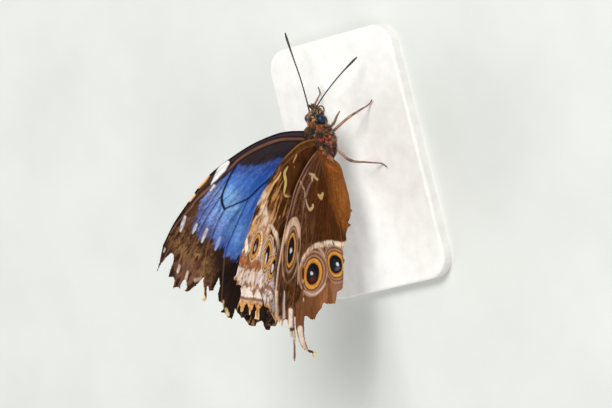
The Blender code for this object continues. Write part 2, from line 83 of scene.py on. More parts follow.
# Outlines, flat from the root as (tail, out)
FORE_FRONT = [
    (-0.8, 0.7), (-1.7, 5.0), (-1.8, 9.0), (-0.7, 15.8), (1.6, 23.3), (5.0, 31.6), (10.4, 40.0), (14.3, 46.0),
    (18.5, 51.3),
]
FORE_BACK = [(42.8, 24.3), (36.0, 20.0), (25.0, 13.5), (12.0, 5.8), (2.4, 0.5)]
RIGHT_FORE_BACK = [(34.7, 21.5), (30.0, 16.8), (25.0, 13.5), (12.0, 5.8), (2.4, 0.5)]
LEFT_FORE_EDGE = [
    (22.1, 54.2), (24.7, 56.4), (22.8, 54.0), (21.8, 51.7), (21.3, 50.0), (20.8, 49.0), (21.6, 48.1),
    (22.7, 48.8), (24.4, 50.4), (26.5, 52.3), (26.9, 50.4), (28.0, 50.5), (29.6, 51.7), (29.3, 50.3),
    (30.0, 49.2), (28.7, 48.0), (28.1, 47.0), (28.3, 46.0), (30.0, 46.3), (31.1, 47.6), (31.2, 46.2),
    (30.4, 43.8), (29.7, 41.7), (29.0, 40.6), (28.6, 39.5), (29.8, 40.4), (31.7, 40.7), (33.5, 41.2),
    (34.0, 42.4), (34.7, 41.9), (34.3, 40.8), (33.1, 40.3), (31.3, 39.7), (31.0, 39.1), (32.5, 39.1),
    (32.5, 37.9), (31.7, 37.2), (30.6, 35.8), (29.7, 35.0), (31.7, 35.3), (33.8, 36.6), (35.7, 36.8),
    (36.2, 35.9), (37.6, 35.9), (38.3, 37.2), (38.9, 35.7), (39.9, 35.6), (40.7, 34.1), (39.5, 33.1),
    (38.2, 32.3), (41.2, 31.0), (40.0, 28.8), (43.2, 27.0),
]
RIGHT_FORE_EDGE = [
    (18.8, 52.7), (19.4, 53.1), (19.6, 51.7), (20.6, 52.8), (21.5, 50.8), (22.1, 51.7), (23.3, 52.2),
    (24.7, 54.1), (26.3, 56.5), (25.5, 54.5), (25.9, 54.2), (27.0, 54.9), (27.3, 54.1), (26.4, 52.6),
    (25.9, 51.5), (27.1, 51.2), (29.2, 52.1), (28.0, 50.1), (27.0, 48.4), (28.4, 48.4), (30.5, 50.6),
    (31.3, 48.9), (29.0, 47.3), (28.5, 45.7), (26.3, 43.8), (28.8, 44.8), (29.4, 44.7), (30.1, 43.5),
    (31.5, 43.4), (33.4, 43.2), (34.4, 42.9), (33.6, 42.1), (34.8, 41.6), (33.7, 40.1), (35.8, 41.0),
    (34.9, 39.8), (34.7, 38.9), (34.9, 37.5), (35.9, 33.4), (35.1, 29.5), (36.5, 25.6),
]
HIND_FRONT = [
    (-0.4, 2.4), (0.4, 4.8), (3.0, 9.6), (7.5, 15.9), (13.1, 21.2), (18.8, 26.1), (25.9, 31.4), (31.9, 35.2),
]
RIGHT_HIND_EDGE = [
    (33.4, 35.9), (36.3, 37.0), (38.9, 37.8), (37.8, 36.7), (39.2, 36.2), (38.1, 35.1), (40.3, 35.6),
    (38.5, 34.2), (38.3, 33.0), (38.5, 32.6), (40.5, 32.9), (41.8, 32.8), (42.8, 32.9), (43.6, 32.8),
    (42.4, 32.2), (43.7, 32.1), (46.1, 32.8), (48.5, 33.9), (49.3, 34.0), (49.0, 33.4), (46.2, 32.3),
    (43.3, 31.1), (42.1, 30.9), (39.0, 29.8), (35.6, 28.3), (35.9, 27.9), (39.1, 29.2), (42.0, 30.1),
    (43.3, 30.1), (45.1, 30.0), (46.7, 29.4), (47.5, 28.2), (48.3, 27.0), (48.7, 25.9), (49.4, 26.0),
    (49.8, 25.1), (49.3, 24.2), (48.6, 24.5), (48.3, 25.5), (47.4, 27.3), (45.7, 27.6), (44.0, 27.4),
    (42.0, 26.7), (39.6, 25.5), (39.1, 24.7), (40.0, 23.5), (40.5, 22.8), (40.6, 21.3), (39.5, 20.2),
    (38.8, 18.6), (38.3, 17.3), (37.2, 16.1), (37.8, 14.4), (38.1, 11.4), (36.8, 10.3), (35.5, 9.4),
    (35.3, 7.6), (34.9, 6.5),
]
LEFT_HIND_EDGE = [
    (33.5, 32.3), (35.4, 30.2), (39.2, 28.4), (39.9, 26.8), (38.0, 25.4), (39.3, 24.2), (41.3, 24.1),
    (41.7, 22.9), (40.7, 22.3), (41.2, 21.0), (39.4, 19.2), (40.6, 16.8), (38.6, 14.4), (38.4, 11.2),
    (35.4, 9.0), (34.7, 6.2),
]
HIND_INNER = [
    (31.2, 4.8), (27.0, 2.8), (22.0, 0.4), (18.0, -1.8), (14.0, -4.6), (10.0, -5.4), (6.0, -4.2), (3.4, -2.4),
    (1.6, -0.2),
]
RIGHT_HIND_INNER = [
    (31.2, 4.8), (29.4, 4.1), (28.4, 3.0), (27.4, 3.3), (26.4, 2.8), (25.4, 2.6), (24.4, 1.2), (23.6, 0.7),
    (22.2, 0.4), (20.8, -0.3), (20.0, -1.7), (19.4, -1.0), (18.6, -1.6), (17.8, -2.4), (17.1, -2.8),
    (16.6, -4.5), (15.9, -3.5), (14.0, -4.6), (10.0, -5.4), (6.0, -4.2), (3.4, -2.4), (1.6, -0.2),
]

# Veins, flat from the root
FORE_CROSS = [(3.6, 21.6), (5.5, 23.8), (9.4, 27.3), (11.3, 28.2), (13.4, 28.1)]
FORE_STEM = [
    (1.0, 1.0), (3.5, 4.1), (6.1, 9.0), (8.3, 12.2), (10.1, 16.2), (12.2, 20.3), (12.9, 24.3), (13.4, 28.1),
]
FORE_VEINS = [
    [(0.7, 1.0), (-0.2, 7.5), (0.6, 16.0), (2.6, 23.0), (6.7, 29.8), (11.7, 38.0), (17.4, 46.5),
     (24.0, 54.8)],
    FORE_CROSS,
    FORE_STEM,
    [(5.5, 23.8), (13.0, 34.5), (20.5, 44.0), (29.2, 51.0)],
    [(9.4, 27.3), (17.0, 37.2), (24.0, 43.4), (31.0, 47.0)],
    [(13.4, 28.1), (18.3, 33.1), (24.0, 37.6), (34.0, 41.4)],
    [(12.2, 20.3), (19.5, 27.1), (25.0, 31.5), (36.6, 36.4)],
    [(9.0, 13.6), (15.0, 18.6), (25.0, 25.2), (41.0, 31.2)],
    [(1.4, 0.9), (10.0, 6.3), (22.0, 14.4), (33.0, 21.8), (43.0, 26.6)],
]
HIND_VEINS = [
    [(0.8, 3.4), (4.2, 9.6), (10.2, 16.9), (18.0, 23.6), (26.0, 30.0), (33.0, 34.8)],
    [(5.4, 8.6), (10.5, 15.3), (16.0, 20.4), (22.6, 26.6), (29.1, 30.4), (38.2, 34.8)],
    [(1.2, 2.2), (6.4, 8.0), (11.3, 13.4), (17.0, 17.8), (24.0, 21.9), (33.0, 27.6), (41.4, 32.2)],
    [(11.3, 13.4), (18.0, 16.0), (26.0, 19.8), (34.0, 25.0), (41.6, 30.4), (48.6, 33.8)],
    [(7.6, 6.4), (13.5, 9.8), (21.0, 14.6), (29.0, 21.3), (36.0, 25.4), (44.0, 28.2)],
    [(1.4, 1.6), (7.6, 6.4), (16.0, 8.6), (24.0, 10.6), (31.0, 12.0), (38.8, 15.6)],
    [(3.4, 2.8), (9.0, 2.6), (16.0, 2.2), (23.0, 2.6), (34.0, 7.4)],
    [(2.2, 0.4), (7.0, -1.6), (13.0, -2.2), (20.0, 0.6)],
]

# Body: half width, half height and middle height at stations along the tail direction
BODY_STATIONS = [
    (-7.25, 0.1, 0.1, -0.1), (-7.0, 0.8, 0.8, -0.1), (-6.4, 1.5, 1.5, 0.0), (-5.2, 2.05, 1.95, 0.0),
    (-4.2, 1.8, 1.75, 0.0), (-3.5, 1.25, 1.3, 0.0), (-3.1, 1.4, 1.45, 0.0), (-2.2, 2.1, 2.2, 0.0),
    (-1.0, 2.6, 2.8, 0.0), (0.9, 2.85, 3.05, 0.0), (2.8, 2.55, 2.75, 0.0), (4.2, 1.9, 2.05, 0.1),
    (5.1, 1.5, 1.5, 0.4), (6.4, 1.85, 1.85, 0.6), (9.0, 2.25, 2.25, 0.6), (12.0, 2.4, 2.4, 0.55),
    (16.0, 2.2, 2.2, 0.45), (20.0, 1.6, 1.6, 0.3), (23.0, 0.85, 0.85, 0.15), (24.3, 0.3, 0.3, 0.1),
]
EYE_RADIUS = 1.3
EYES_AT = {-1: (-1.95, -5.95, 0.4), 1: (2.0, -4.95, 0.35)}
EYE_CLEARANCE = 0.04
HEAD_END = -2.9

# Feelers, mouth and legs
LEFT_ANTENNA = [
    (-0.7, -6.2, 1.2), (-1.3, -9.6, 0.5), (-2.2, -16.0, -0.1), (-3.5, -22.0, -0.6), (-4.6, -26.8, -1.1),
    (-5.0, -28.6, -1.4),
]
RIGHT_ANTENNA = [
    (0.7, -6.2, 1.4), (3.1, -9.0, 0.9), (6.6, -12.4, -1.2), (9.9, -15.2, -3.4), (12.5, -17.2, -5.3),
    (13.6, -18.0, -6.1),
]
ANTENNA_RADII = (0.24, 0.19, 0.17, 0.19, 0.3, 0.14)
PALP = [(0.75, -6.2, -0.9), (0.8, -7.6, -0.9), (0.75, -8.6, 0.0), (0.65, -9.2, 1.0)]
PALP_RADII = (0.36, 0.42, 0.34, 0.14)
COIL_AT = (0.0, -7.3, -2.5)
COIL_RADIUS = 1.35
COIL_INNER = 0.35
COIL_START = 0.6
COIL_WIRE = 0.19
COIL_TURNS = 1.4
FORELEG = [(1.0, -2.2, -2.4), (2.2, -3.4, -3.6), (2.9, -4.7, -4.3), (3.5, -5.8, -5.1)]
FORELEG_RADII = (0.34, 0.34, 0.26, 0.18)
LEG_RADII = (0.38, 0.35, 0.24, 0.18, 0.15)
FOOT_GAP = 0.3
FOOT_HALF = 0.27
FOOT_UP = BASE_THICK - AXIS_HEIGHT + FOOT_GAP + FOOT_HALF
RIGHT_MIDLEG = [
    (1.4, -0.9, -2.2), (7.4, -3.6, -3.6), (9.6, -5.0, -7.0), (10.7, -5.7, FOOT_UP + 0.1),
    (12.0, -6.6, FOOT_UP),
]
RIGHT_HINDLEG = [
    (1.5, 2.0, -2.0), (6.0, 6.7, -2.0), (8.2, 8.3, -5.4), (9.8, 9.5, FOOT_UP + 0.1), (11.3, 10.6, FOOT_UP),
]
LEFT_MIDLEG = [
    (-1.4, -1.2, -2.2), (-5.2, -7.0, -3.8), (-5.6, -10.2, -7.2), (-5.8, -11.6, FOOT_UP + 0.1),
    (-6.0, -13.2, FOOT_UP),
]
LEFT_HINDLEG = [
    (-1.5, 2.0, -2.0), (-6.2, 5.6, -2.2), (-8.4, 7.2, -5.6), (-9.6, 8.4, FOOT_UP + 0.1),
    (-10.8, 10.0, FOOT_UP),
]

# Hair lobe over a forewing's root: right and up as on the right side, tail from the wing's own place
SHOULDER = [(1.0, -1.6, 1.7), (1.35, -0.9, 2.4), (1.75, 0.2, 3.0), (2.0, 1.6, 3.3), (2.0, 2.6, 3.1)]
SHOULDER_RADII = (0.3, 0.55, 0.55, 0.4, 0.15)
# Hair over a hindwing's root, in the same way
WING_JOINT = [(2.8, 2.9, 3.7), (2.75, 3.5, 2.9), (2.85, 4.2, 2.2), (2.95, 5.2, 1.5), (2.8, 6.1, 0.9)]
WING_JOINT_RADII = (0.12, 0.3, 0.36, 0.32, 0.15)

# Hairs: how deep they start, the painted shade that darkens the root and the painted highlight that lightens
# the tip
HAIR_DEPTH = 0.12
ROOT_PAINTED_SHADE = 0.55
TIP_PAINTED_HIGHLIGHT = 1.25
# Shares of the hairs with a colour of their own, and of those that take a coloured tuft's
OWN_SHARE = 0.15
SPOT_SHARE = 0.78


def place(points):
    """Rows of (right, tail, up) in millimetres to metres in the world."""
    points = np.atleast_2d(np.asarray(points, float))
    return np.stack([-points[:, 0], points[:, 1] - BODY_AHEAD, points[:, 2] + AXIS_HEIGHT], 1) * MM


def linear(colour):
    """A colour from 0 to 255 as shown on screen to the shader's linear values."""
    part = np.asarray(colour, float) / 255.0
    return np.where(part <= 0.04045, part / 12.92, ((part + 0.055) / 1.055) ** 2.4)


def ramp(value, low, high):
    """0 up to low, rising smoothly to 1 at high."""
    x = np.clip((value - low) / (high - low), 0.0, 1.0)
    return x * x * (3 - 2 * x)


def fade(value, low, high):
    """1 up to low, falling smoothly to 0 at high."""
    return 1 - ramp(value, low, high)


def unit(rows, least=0.0):
    """Rows divided by their lengths. A least length keeps a zero row from failing."""
    return rows / (np.linalg.norm(rows, axis=1)[:, None] + least)


class Noise:
    """Smooth random values over the plane, the same each run."""

    SIZE = 128
    WEAKER = 0.55
    FINER = 2.03

    def __init__(self, seed):
        self.table = np.random.default_rng(seed).random((self.SIZE, self.SIZE))

    def __call__(self, x, y, octaves=1):
        total = np.zeros_like(np.asarray(x, float))
        weight = 1.0
        scale = 1.0
        whole = 0.0
        for _ in range(octaves):
            u = x * scale
            v = y * scale
            i = np.floor(u).astype(int)
            j = np.floor(v).astype(int)
            fu = u - i
            fv = v - j
            fu = fu * fu * (3 - 2 * fu)
            fv = fv * fv * (3 - 2 * fv)
            near, far = i % self.SIZE, (i + 1) % self.SIZE
            low, high = (self.table[near, row % self.SIZE] * (1 - fu) + self.table[far, row % self.SIZE] * fu
                         for row in (j, j + 1))
            total = total + weight * (low * (1 - fv) + high * fv)
            whole += weight
            weight *= self.WEAKER
            scale *= self.FINER
        return total / whole


def smooth_route(points, per_span=8):
    route = []
    last = len(points) - 1
    for span in range(last):
        before, start, end, after = (np.array(points[min(max(span + k, 0), last)], float)
                                     for k in (-1, 0, 1, 2))
        for step in range(per_span):
            x = step / per_span
            route.append(0.5 * (2 * start + (end - before) * x
                                + (2 * before - 5 * start + 4 * end - after) * x ** 2
                                + (3 * start - before - 3 * end + after) * x ** 3))
    route.append(np.array(points[-1], float))
    return np.array(route)


def spaced(route, step):
    lengths = np.concatenate([[0.0], np.cumsum(np.linalg.norm(np.diff(route, axis=0), axis=1))])
    count = max(2, int(round(lengths[-1] / step)) + 1)
    wanted = np.linspace(0.0, lengths[-1], count)
    return np.stack([np.interp(wanted, lengths, route[:, axis]) for axis in range(route.shape[1])], axis=1)


# Wing surfaces, the same as the solids'


def opening_angle(side, out):
    """The angle of the wing's section above level, at a distance out from the root."""
    if side > 0:
        return np.full_like(out, RIGHT_OPENING)
    start, rise, curve = LEFT_OPENING
    return np.radians(start + rise * out + curve * out * out)


def bend(side, out):
    """(right-hand distance, height, angle) along the section of the open wing."""
    total_right = np.zeros_like(out)
    total_up = np.zeros_like(out)
    for step in range(BEND_STEPS):
        angle = opening_angle(side, out * (step + 0.5) / BEND_STEPS)
        total_right += np.cos(angle) * out / BEND_STEPS
        total_up += np.sin(angle) * out / BEND_STEPS
    return FORE_ROOT[0] + total_right, FORE_ROOT[1] + total_up, opening_angle(side, out)


def fore_surface(side, tail, out):
    if side > 0:
        turned = tail * math.cos(SWEEP) + out * math.sin(SWEEP)
        out = out * math.cos(SWEEP) - tail * math.sin(SWEEP)
        tail = turned + RIGHT_FORE_TAIL
    else:
        tail = tail + LEFT_FORE_TAIL
    right, up, _ = bend(side, out)
    return np.stack([side * right, tail, up], 1)


def layer_below(side, out):
    right, up, angle = bend(side, out)
    return np.stack([right + LAYER_STEP * np.sin(angle), up - LAYER_STEP * np.cos(angle)], 1), angle


def gutter(side, out):
    first = GUTTER_JOIN - GUTTER_LENGTH
    plain, _ = layer_below(side, out)
    angle = GUTTER_TOP + (out - first) / GUTTER_RADIUS
    round_part = np.stack([GUTTER_RADIUS * np.cos(angle), ABDOMEN_UP + GUTTER_RADIUS * np.sin(angle)], 1)
    low = np.array((GUTTER_RADIUS * math.cos(GUTTER_TOP), ABDOMEN_UP + GUTTER_RADIUS * math.sin(GUTTER_TOP)))
    low_way = np.array((-math.sin(GUTTER_TOP), math.cos(GUTTER_TOP))) * GUTTER_LENGTH
    high, angle = layer_below(side, np.array([GUTTER_JOIN]))
    high_way = np.array((math.cos(angle[0]), math.sin(angle[0]))) * GUTTER_LENGTH
    x = np.clip((out - first) / GUTTER_LENGTH, 0.0, 1.0)[:, None]
    middle = ((2 * x ** 3 - 3 * x ** 2 + 1) * low + (x ** 3 - 2 * x ** 2 + x) * low_way
              + (3 * x ** 2 - 2 * x ** 3) * high[0] + (x ** 3 - x ** 2) * high_way)
    out = out[:, None]
    return np.where(out >= GUTTER_JOIN, plain, np.where(out <= first, round_part, middle))


def hind_surface(side, tail, out):
    start = RIGHT_FORE_TAIL + HIND_BEHIND if side > 0 else LEFT_FORE_TAIL + LEFT_HIND_BEHIND
    plain, _ = layer_below(side, out)
    folded = gutter(side, out)
    section = plain + (folded - plain) * ramp(tail, 0.0, GUTTER_STARTS)[:, None]
    return np.stack([side * section[:, 0], start + tail, section[:, 1]], 1)


def line_distance(points, line):
    """Distance of each point from a line of points, and how far along the line it is nearest."""
    line = np.asarray(line, float)
    best = np.full(len(points), 1e9)
    place_on = np.zeros(len(points))
    spans = len(line) - 1
    for k in range(spans):
        start = line[k]
        way = line[k + 1] - start
        along = np.clip(((points - start) @ way) / max(way @ way, 1e-12), 0.0, 1.0)
        away = np.linalg.norm(points - start - along[:, None] * way, axis=1)
        nearer = away < best
        best[nearer] = away[nearer]
        place_on[nearer] = (k + along[nearer]) / spans
    return best, place_on


def inside(points, outline):
    result = np.zeros(len(points), bool)
    nexts = np.roll(outline, -1, axis=0)
    for (x0, y0), (x1, y1) in zip(outline, nexts):
        if y0 == y1:
            continue
        crosses = (y0 > points[:, 1]) != (y1 > points[:, 1])
        at = x0 + (points[:, 1] - y0) * (x1 - x0) / (y1 - y0)
        result ^= crosses & (points[:, 0] < at)
    return result


def torn_edge(edge, seed, step=0.3, rough=0.07):
    """The worn outer edge with small teeth between its main notches."""
    draw = np.random.default_rng(seed)
    route = spaced(np.array(edge, float), step)
    ways = np.gradient(route, axis=0)
    ways /= np.linalg.norm(ways, axis=1)[:, None] + 1e-9
    across = np.stack([ways[:, 1], -ways[:, 0]], 1)
    push = draw.normal(0.0, rough, len(route))
    push[[0, -1]] = 0.0
    return route + across * push[:, None]


def flat_wing(front, edge, back, seed):
    outline = np.vstack([spaced(smooth_route(front), WING_PITCH), torn_edge(edge, seed),
                         spaced(smooth_route(back), WING_PITCH)])
    low = outline.min(0)
    high = outline.max(0)
    rows = int((high[1] - low[1]) / (WING_PITCH * ROW_SHARE)) + 1
    columns = int((high[0] - low[0]) / WING_PITCH) + 1
    grid = np.array([(low[0] + (i + 0.5 * (j % 2)) * WING_PITCH, low[1] + j * WING_PITCH * ROW_SHARE)
                     for j in range(rows) for i in range(columns)])
    grid = grid[inside(grid, outline)]
    closed = np.vstack([outline, outline[:1]])
    near, _ = line_distance(grid, closed)
    grid = grid[near > 0.5 * WING_PITCH]
    points = np.vstack([outline, grid])
    edges = [(k, (k + 1) % len(outline)) for k in range(len(outline))]
    result = delaunay_2d_cdt([Vector(point) for point in points], edges, [], 0, 1e-5)
    flat = np.array([tuple(vert) for vert in result[0]])
    faces = np.array(result[2])
    faces = faces[inside(flat[faces].mean(1), outline)]
    corners = flat[faces]
    turn = np.cross(corners[:, 1] - corners[:, 0], corners[:, 2] - corners[:, 0])
    faces = faces[np.abs(turn) > 1e-7]
    turn = turn[np.abs(turn) > 1e-7]
    faces[turn < 0] = faces[turn < 0][:, ::-1]
    used = np.unique(faces)
    renumber = np.full(len(flat), -1)
    renumber[used] = np.arange(len(used))
    return flat[used], renumber[faces], outline


# Painting: colour is worked out from where a point lies on the flat wing
# The point that a wing's streaks fan out from, and how much tail and out count towards the torn edge
FAN_POINT = (-6.0, -4.0)
FORE_RANK = (0.784, 0.62)
HIND_RANK = (0.93, 0.36)


class Paint:
    """Colours at flat wing points, laid over one another by masks. t is the tail direction, w is out."""

    def __init__(self, points, veins, outline, seed):
        self.points = points
        self.t = points[:, 0]
        self.w = points[:, 1]
        self.noise = Noise(seed)
        self.colour = np.zeros((len(points), 3))
        self.shine = np.zeros(len(points))
        lines = [smooth_route(vein) for vein in veins]
        self.vein = np.stack([line_distance(points, line)[0] for line in lines], 1).min(1)
        closed = np.vstack([outline, outline[:1]])
        self.rim, _ = line_distance(points, closed)
        self.angle = np.arctan2(self.w - FAN_POINT[1], self.t - FAN_POINT[0])
        self.reach = np.hypot(self.t - FAN_POINT[0], self.w - FAN_POINT[1])
        self.streak = self.noise(self.angle * 60.0, self.reach * 0.22, 3)
        self.hairs = self.noise(self.angle * 150.0 + 7.0, self.reach * 0.6, 2)
        self.fine = self.noise(self.t * 2.3, self.w * 2.3, 2)
        self.broad = self.noise(self.t * 0.35 + 9.0, self.w * 0.35 + 5.0, 2)
        self.grain = self.noise(self.angle * 190.0 + 3.0, self.reach * 1.6, 1)

    def lay(self, colour, mask):
        mask = np.clip(mask, 0.0, 1.0)[:, None]
        self.colour = self.colour * (1 - mask) + linear(colour) * mask

    def mark(self, colour, most, line, halves, soft=0.12):
        """A stroke of one colour."""
        self.lay(colour, most * self.stroke(line, halves, soft))

    def rank(self, weights):
        """How far each point lies towards the torn edge."""
        return weights[0] * self.t + weights[1] * self.w

    def away_from(self, line):
        return line_distance(self.points, smooth_route(line))[0]

    def oval(self, middle, long, wide):
        """Distance from the middle of an oval that has these two half axes, 1 on its edge."""
        shares = np.linalg.solve(np.array([long, wide], float).T, (self.points - np.array(middle)).T)
        return np.hypot(shares[0], shares[1])

    def blob(self, middle, long, wide, soft=0.3):
        """1 inside an oval, 0 outside."""
        return fade(self.oval(middle, long, wide), 1 - soft, 1 + soft)

    def round(self, middle, radius, soft=0.3):
        return self.blob(middle, (radius, 0.0), (0.0, radius), soft)

    def glow(self, middle, tail_reach, out_reach):
        """1 at the middle, falling off smoothly."""
        return np.exp(-((self.t - middle[0]) / tail_reach) ** 2 - ((self.w - middle[1]) / out_reach) ** 2)

    def stroke(self, line, halves, soft=0.12):
        """1 along a line that is as wide as the halves on each side, in turn along it."""
        route = smooth_route(line, 6) if len(line) > 2 else np.array(line, float)
        away, along = line_distance(self.points, route)
        halves = np.atleast_1d(halves)
        width = np.interp(along, np.linspace(0, 1, len(halves)), halves)
        return fade(away, width - soft, width + soft)


def eye_spot(paint, middle, long, wide, pupil, rings, seen=0.72):
    """A ringed eye spot. rings has the colour and reach of each ring round the yellow one, widest first."""
    lay = paint.lay
    ring = paint.oval(middle, long, wide) + 0.05 * (paint.fine - 0.5)
    for colour, reach in rings:
        lay(colour, fade(ring, reach - 0.05, reach + 0.05))
    lay((54, 36, 28), fade(ring, 1.04, 1.12))
    lay((208, 148, 66), fade(ring, 0.95, 1.02))
    lay((214, 132, 44), 0.8 * fade(np.abs(ring - 0.88), 0.02, 0.08) * ramp(paint.fine, 0.35, 0.6))
    lay((176, 104, 36), 0.9 * fade(ring, seen + 0.02, seen + 0.12))
    lay((17, 17, 20), fade(ring, seen - 0.05, seen + 0.04))
    lay((44, 54, 64), 0.6 * fade(ring, 0.2, 0.6) * (paint.fine > 0.45))
    lay((222, 216, 222), 0.95 * pupil)
    return ring


FORE_RINGS = (((206, 176, 148), 1.5), ((120, 76, 50), 1.36), ((208, 172, 140), 1.24))


def paint_fore_under(paint):
    t, w, streak, fine, vein, hairs = paint.t, paint.w, paint.streak, paint.fine, paint.vein, paint.hairs
    lay, mark, stroke = paint.lay, paint.mark, paint.stroke
    n = paint.rank(FORE_RANK)
    wander = n + 2.0 * (streak - 0.5) + 1.6 * (hairs - 0.5)
    front = paint.away_from(FORE_FRONT)
    lay((80, 44, 18), np.ones_like(t))
    lay((58, 30, 12), 0.8 * ramp(paint.broad + 0.4 * streak, 0.62, 0.85))
    # Streaks of tan and dark brown between the hook and the eye spots
    middle = ramp(w, 17.5, 22.0) * fade(n, 33, 36)
    lay((132, 84, 42), 0.75 * middle * ramp(streak + 0.25 * hairs, 0.58, 0.76))
    lay((196, 146, 92), 0.6 * middle * ramp(streak + 0.3 * hairs, 0.74, 0.86))
    lay((50, 26, 12), 0.6 * middle * fade(streak + 0.3 * hairs, 0.46, 0.64))
    # Gold along the front edge near the root, then a peach line
    lay((112, 74, 28), 0.8 * fade(front, 0.7, 1.8) * fade(w, 9, 15) * ramp(hairs, 0.3, 0.6))
    lay((134, 94, 42), 0.85 * fade(front, 0.12, 0.45) * fade(w, 14, 19))
    lay((60, 36, 16), 0.8 * fade(np.abs(front - 0.75), 0.1, 0.3) * fade(w, 12, 17))
    lay((62, 34, 16), 0.8 * fade(front, 0.1, 0.5) * ramp(w, 17, 20))
    peach = [(2.0, 19.6), (2.7, 20.9), (3.6, 24.2), (5.0, 27.4), (6.3, 30.5), (7.2, 32.5)]
    mark((236, 182, 120), 0.95, peach, (0.15, 0.3, 0.3, 0.22))
    hook = [(1.7, 16.0), (2.7, 18.0), (4.2, 18.5), (5.3, 19.2), (6.9, 20.9), (7.9, 20.9), (8.6, 19.0)]
    mark((52, 28, 12), 0.7, hook, (0.7, 1.0, 1.0, 0.8, 0.7, 0.6, 0.5), 0.3)
    mark((200, 172, 104), 1.0, hook, (0.15, 0.55, 0.6, 0.42, 0.3, 0.25, 0.2))
    mark((150, 108, 62), 0.7, [(7.4, 21.0), (8.6, 19.0)], 0.3)
    mark((194, 146, 84), 1.0, [(0.2, 11.0), (1.4, 13.2)], (0.3, 0.15))
    lay((180, 104, 36), 0.9 * paint.round((2.7, 13.2), 0.25))
    # Whitish bands round the eye spots
    white = (222, 196, 172)
    broken = ramp(hairs + 0.5 * streak, 0.42, 0.6)
    lay((196, 150, 110), 0.9 * ramp(n, 24.5, 27.5) * fade(n, 34.5, 38.0) * ramp(t - 0.33 * w, -3.2, -1.8)
        * fade(t - 0.5 * w, -3.4, -2.2) * broken)
    band = [(3.6, 26.4), (4.8, 28.9), (6.8, 30.5), (8.8, 31.7), (11.0, 32.3), (12.6, 33.4), (13.2, 35.0)]
    lay(white, 0.92 * stroke(band, (0.3, 0.7, 1.0, 1.1, 1.0, 0.8, 0.4), 0.4) * (0.25 + 0.75 * broken))
    lay((150, 98, 58), 0.8 * stroke(band, (0.5, 0.8, 0.9, 0.9, 0.6), 0.5) * ramp(streak, 0.5, 0.62))
    for flame in ([(4.2, 28.6), (5.4, 31.4), (6.0, 33.4)], [(7.4, 31.4), (8.4, 33.6), (8.8, 35.2)],
                  [(10.2, 32.4), (11.0, 34.6), (11.2, 36.4)]):
        lay(white, 0.75 * stroke(flame, (0.45, 0.4, 0.12), 0.3) * (0.4 + 0.6 * broken))
    right = [(12.2, 31.4), (13.1, 30.7), (15.3, 30.5), (17.9, 31.1), (19.6, 31.6), (23.0, 30.5), (28.0, 27.5),
             (34.0, 23.5), (39.0, 21.0)]
    lay(white, 0.95 * stroke(right, (0.5, 0.8, 0.8, 0.75, 0.7), 0.25) * (0.3 + 0.7 * broken))
    lay((72, 42, 28), 0.9 * paint.blob((13.4, 27.6), (1.6, -0.2), (0.5, 1.4), 0.4))
    # Lilac and tan ground round the spots, warm patches below them
    ground = ramp(wander, 33.5, 36.0) * fade(n, 43, 45)
    lay((158, 112, 78), 0.85 * ground)
    lay((212, 184, 162), 0.75 * ground * ramp(hairs + 0.3 * (fine - 0.5), 0.5, 0.6))
    lay((104, 64, 40), 0.75 * ground * fade(hairs + 0.4 * (fine - 0.5), 0.38, 0.48))
    lay((196, 166, 160), 0.5 * ground * ramp(streak, 0.5, 0.62))
    glow = ramp(wander, 39.8, 41.0) * fade(wander, 42.4, 43.4)
    lay((158, 92, 48), glow * (0.55 + 0.4 * ramp(streak + 0.3 * hairs, 0.5, 0.7)))
    lay((132, 76, 42), 0.8 * ramp(n, 39.4, 40.6) * fade(wander, 42.6, 43.4) * ramp(streak, 0.46, 0.58))
    mark((250, 226, 192), 0.95, [(12.2, 42.2), (14.0, 43.7), (14.9, 44.6)], (0.3, 0.6, 0.2))
    mark((234, 178, 122), 0.9, [(8.5, 35.2), (9.7, 37.8)], 0.24)
    mark((244, 220, 190), 0.95, [(12.5, 35.5), (14.9, 37.5), (15.9, 38.7), (17.4, 40.4)],
         (0.15, 0.3, 0.36, 0.2))
    # The outer bands: white, brown chevrons, white points, a thin brown line and golden tips
    rank = n + 0.26 * (47.5 - w)
    pale = ramp(rank + 1.8 * (streak - 0.5) + 1.6 * (hairs - 0.5), 43.2, 44.1)
    lay((222, 200, 186), 0.95 * pale)
    lay((188, 146, 114), 0.7 * pale * ramp(hairs + 0.3 * (fine - 0.5), 0.5, 0.64))
    lay((208, 198, 202), 0.6 * pale * ramp(streak, 0.48, 0.6))
    lay((150, 96, 58), 0.75 * pale * ramp(hairs + 0.4 * streak, 0.86, 0.98))
    zig = rank + 1.3 * np.minimum(vein, 1.6) + 1.2 * (hairs - 0.5)
    lay((140, 90, 58), 0.9 * ramp(zig, 48.1, 48.5) * fade(zig, 49.3, 49.9) * ramp(streak + fine, 0.64, 0.86))
    lay((236, 220, 210), 0.92 * ramp(zig, 49.5, 50.0) * fade(rank, 49.7, 50.1))
    outer = ramp(w + 1.5 * (streak - 0.5), 43.6, 45.2)
    lay((134, 86, 58), 0.9 * outer * ramp(rank + 0.5 * (hairs - 0.5), 49.7, 50.0) * fade(rank, 50.4, 50.8))
    golden = ramp(rank + 0.6 * (hairs - 0.5), 50.5, 50.9) * np.maximum(outer, ramp(0.9 - paint.rim, 0.0, 0.4))
    lay((212, 158, 94), 0.95 * golden)
    lay((164, 104, 50), 0.8 * golden * ramp(fine + 0.6 * (hairs - 0.5), 0.48, 0.6))
    lay((238, 208, 166), 0.85 * golden * ramp(0.55 - paint.rim, 0.0, 0.35) * ramp(rank, 52.6, 53.6))
    lay((130, 92, 72), 0.8 * ramp(rank, 46.0, 47.0) * (1 - outer) * ramp(hairs + 0.3 * fine, 0.68, 0.8))
    line = fade(vein, 0.08, 0.26)
    lay((124, 80, 52), 0.45 * line * pale * ramp(hairs, 0.35, 0.6))
    lay((140, 96, 58), 0.35 * line * (1 - pale))
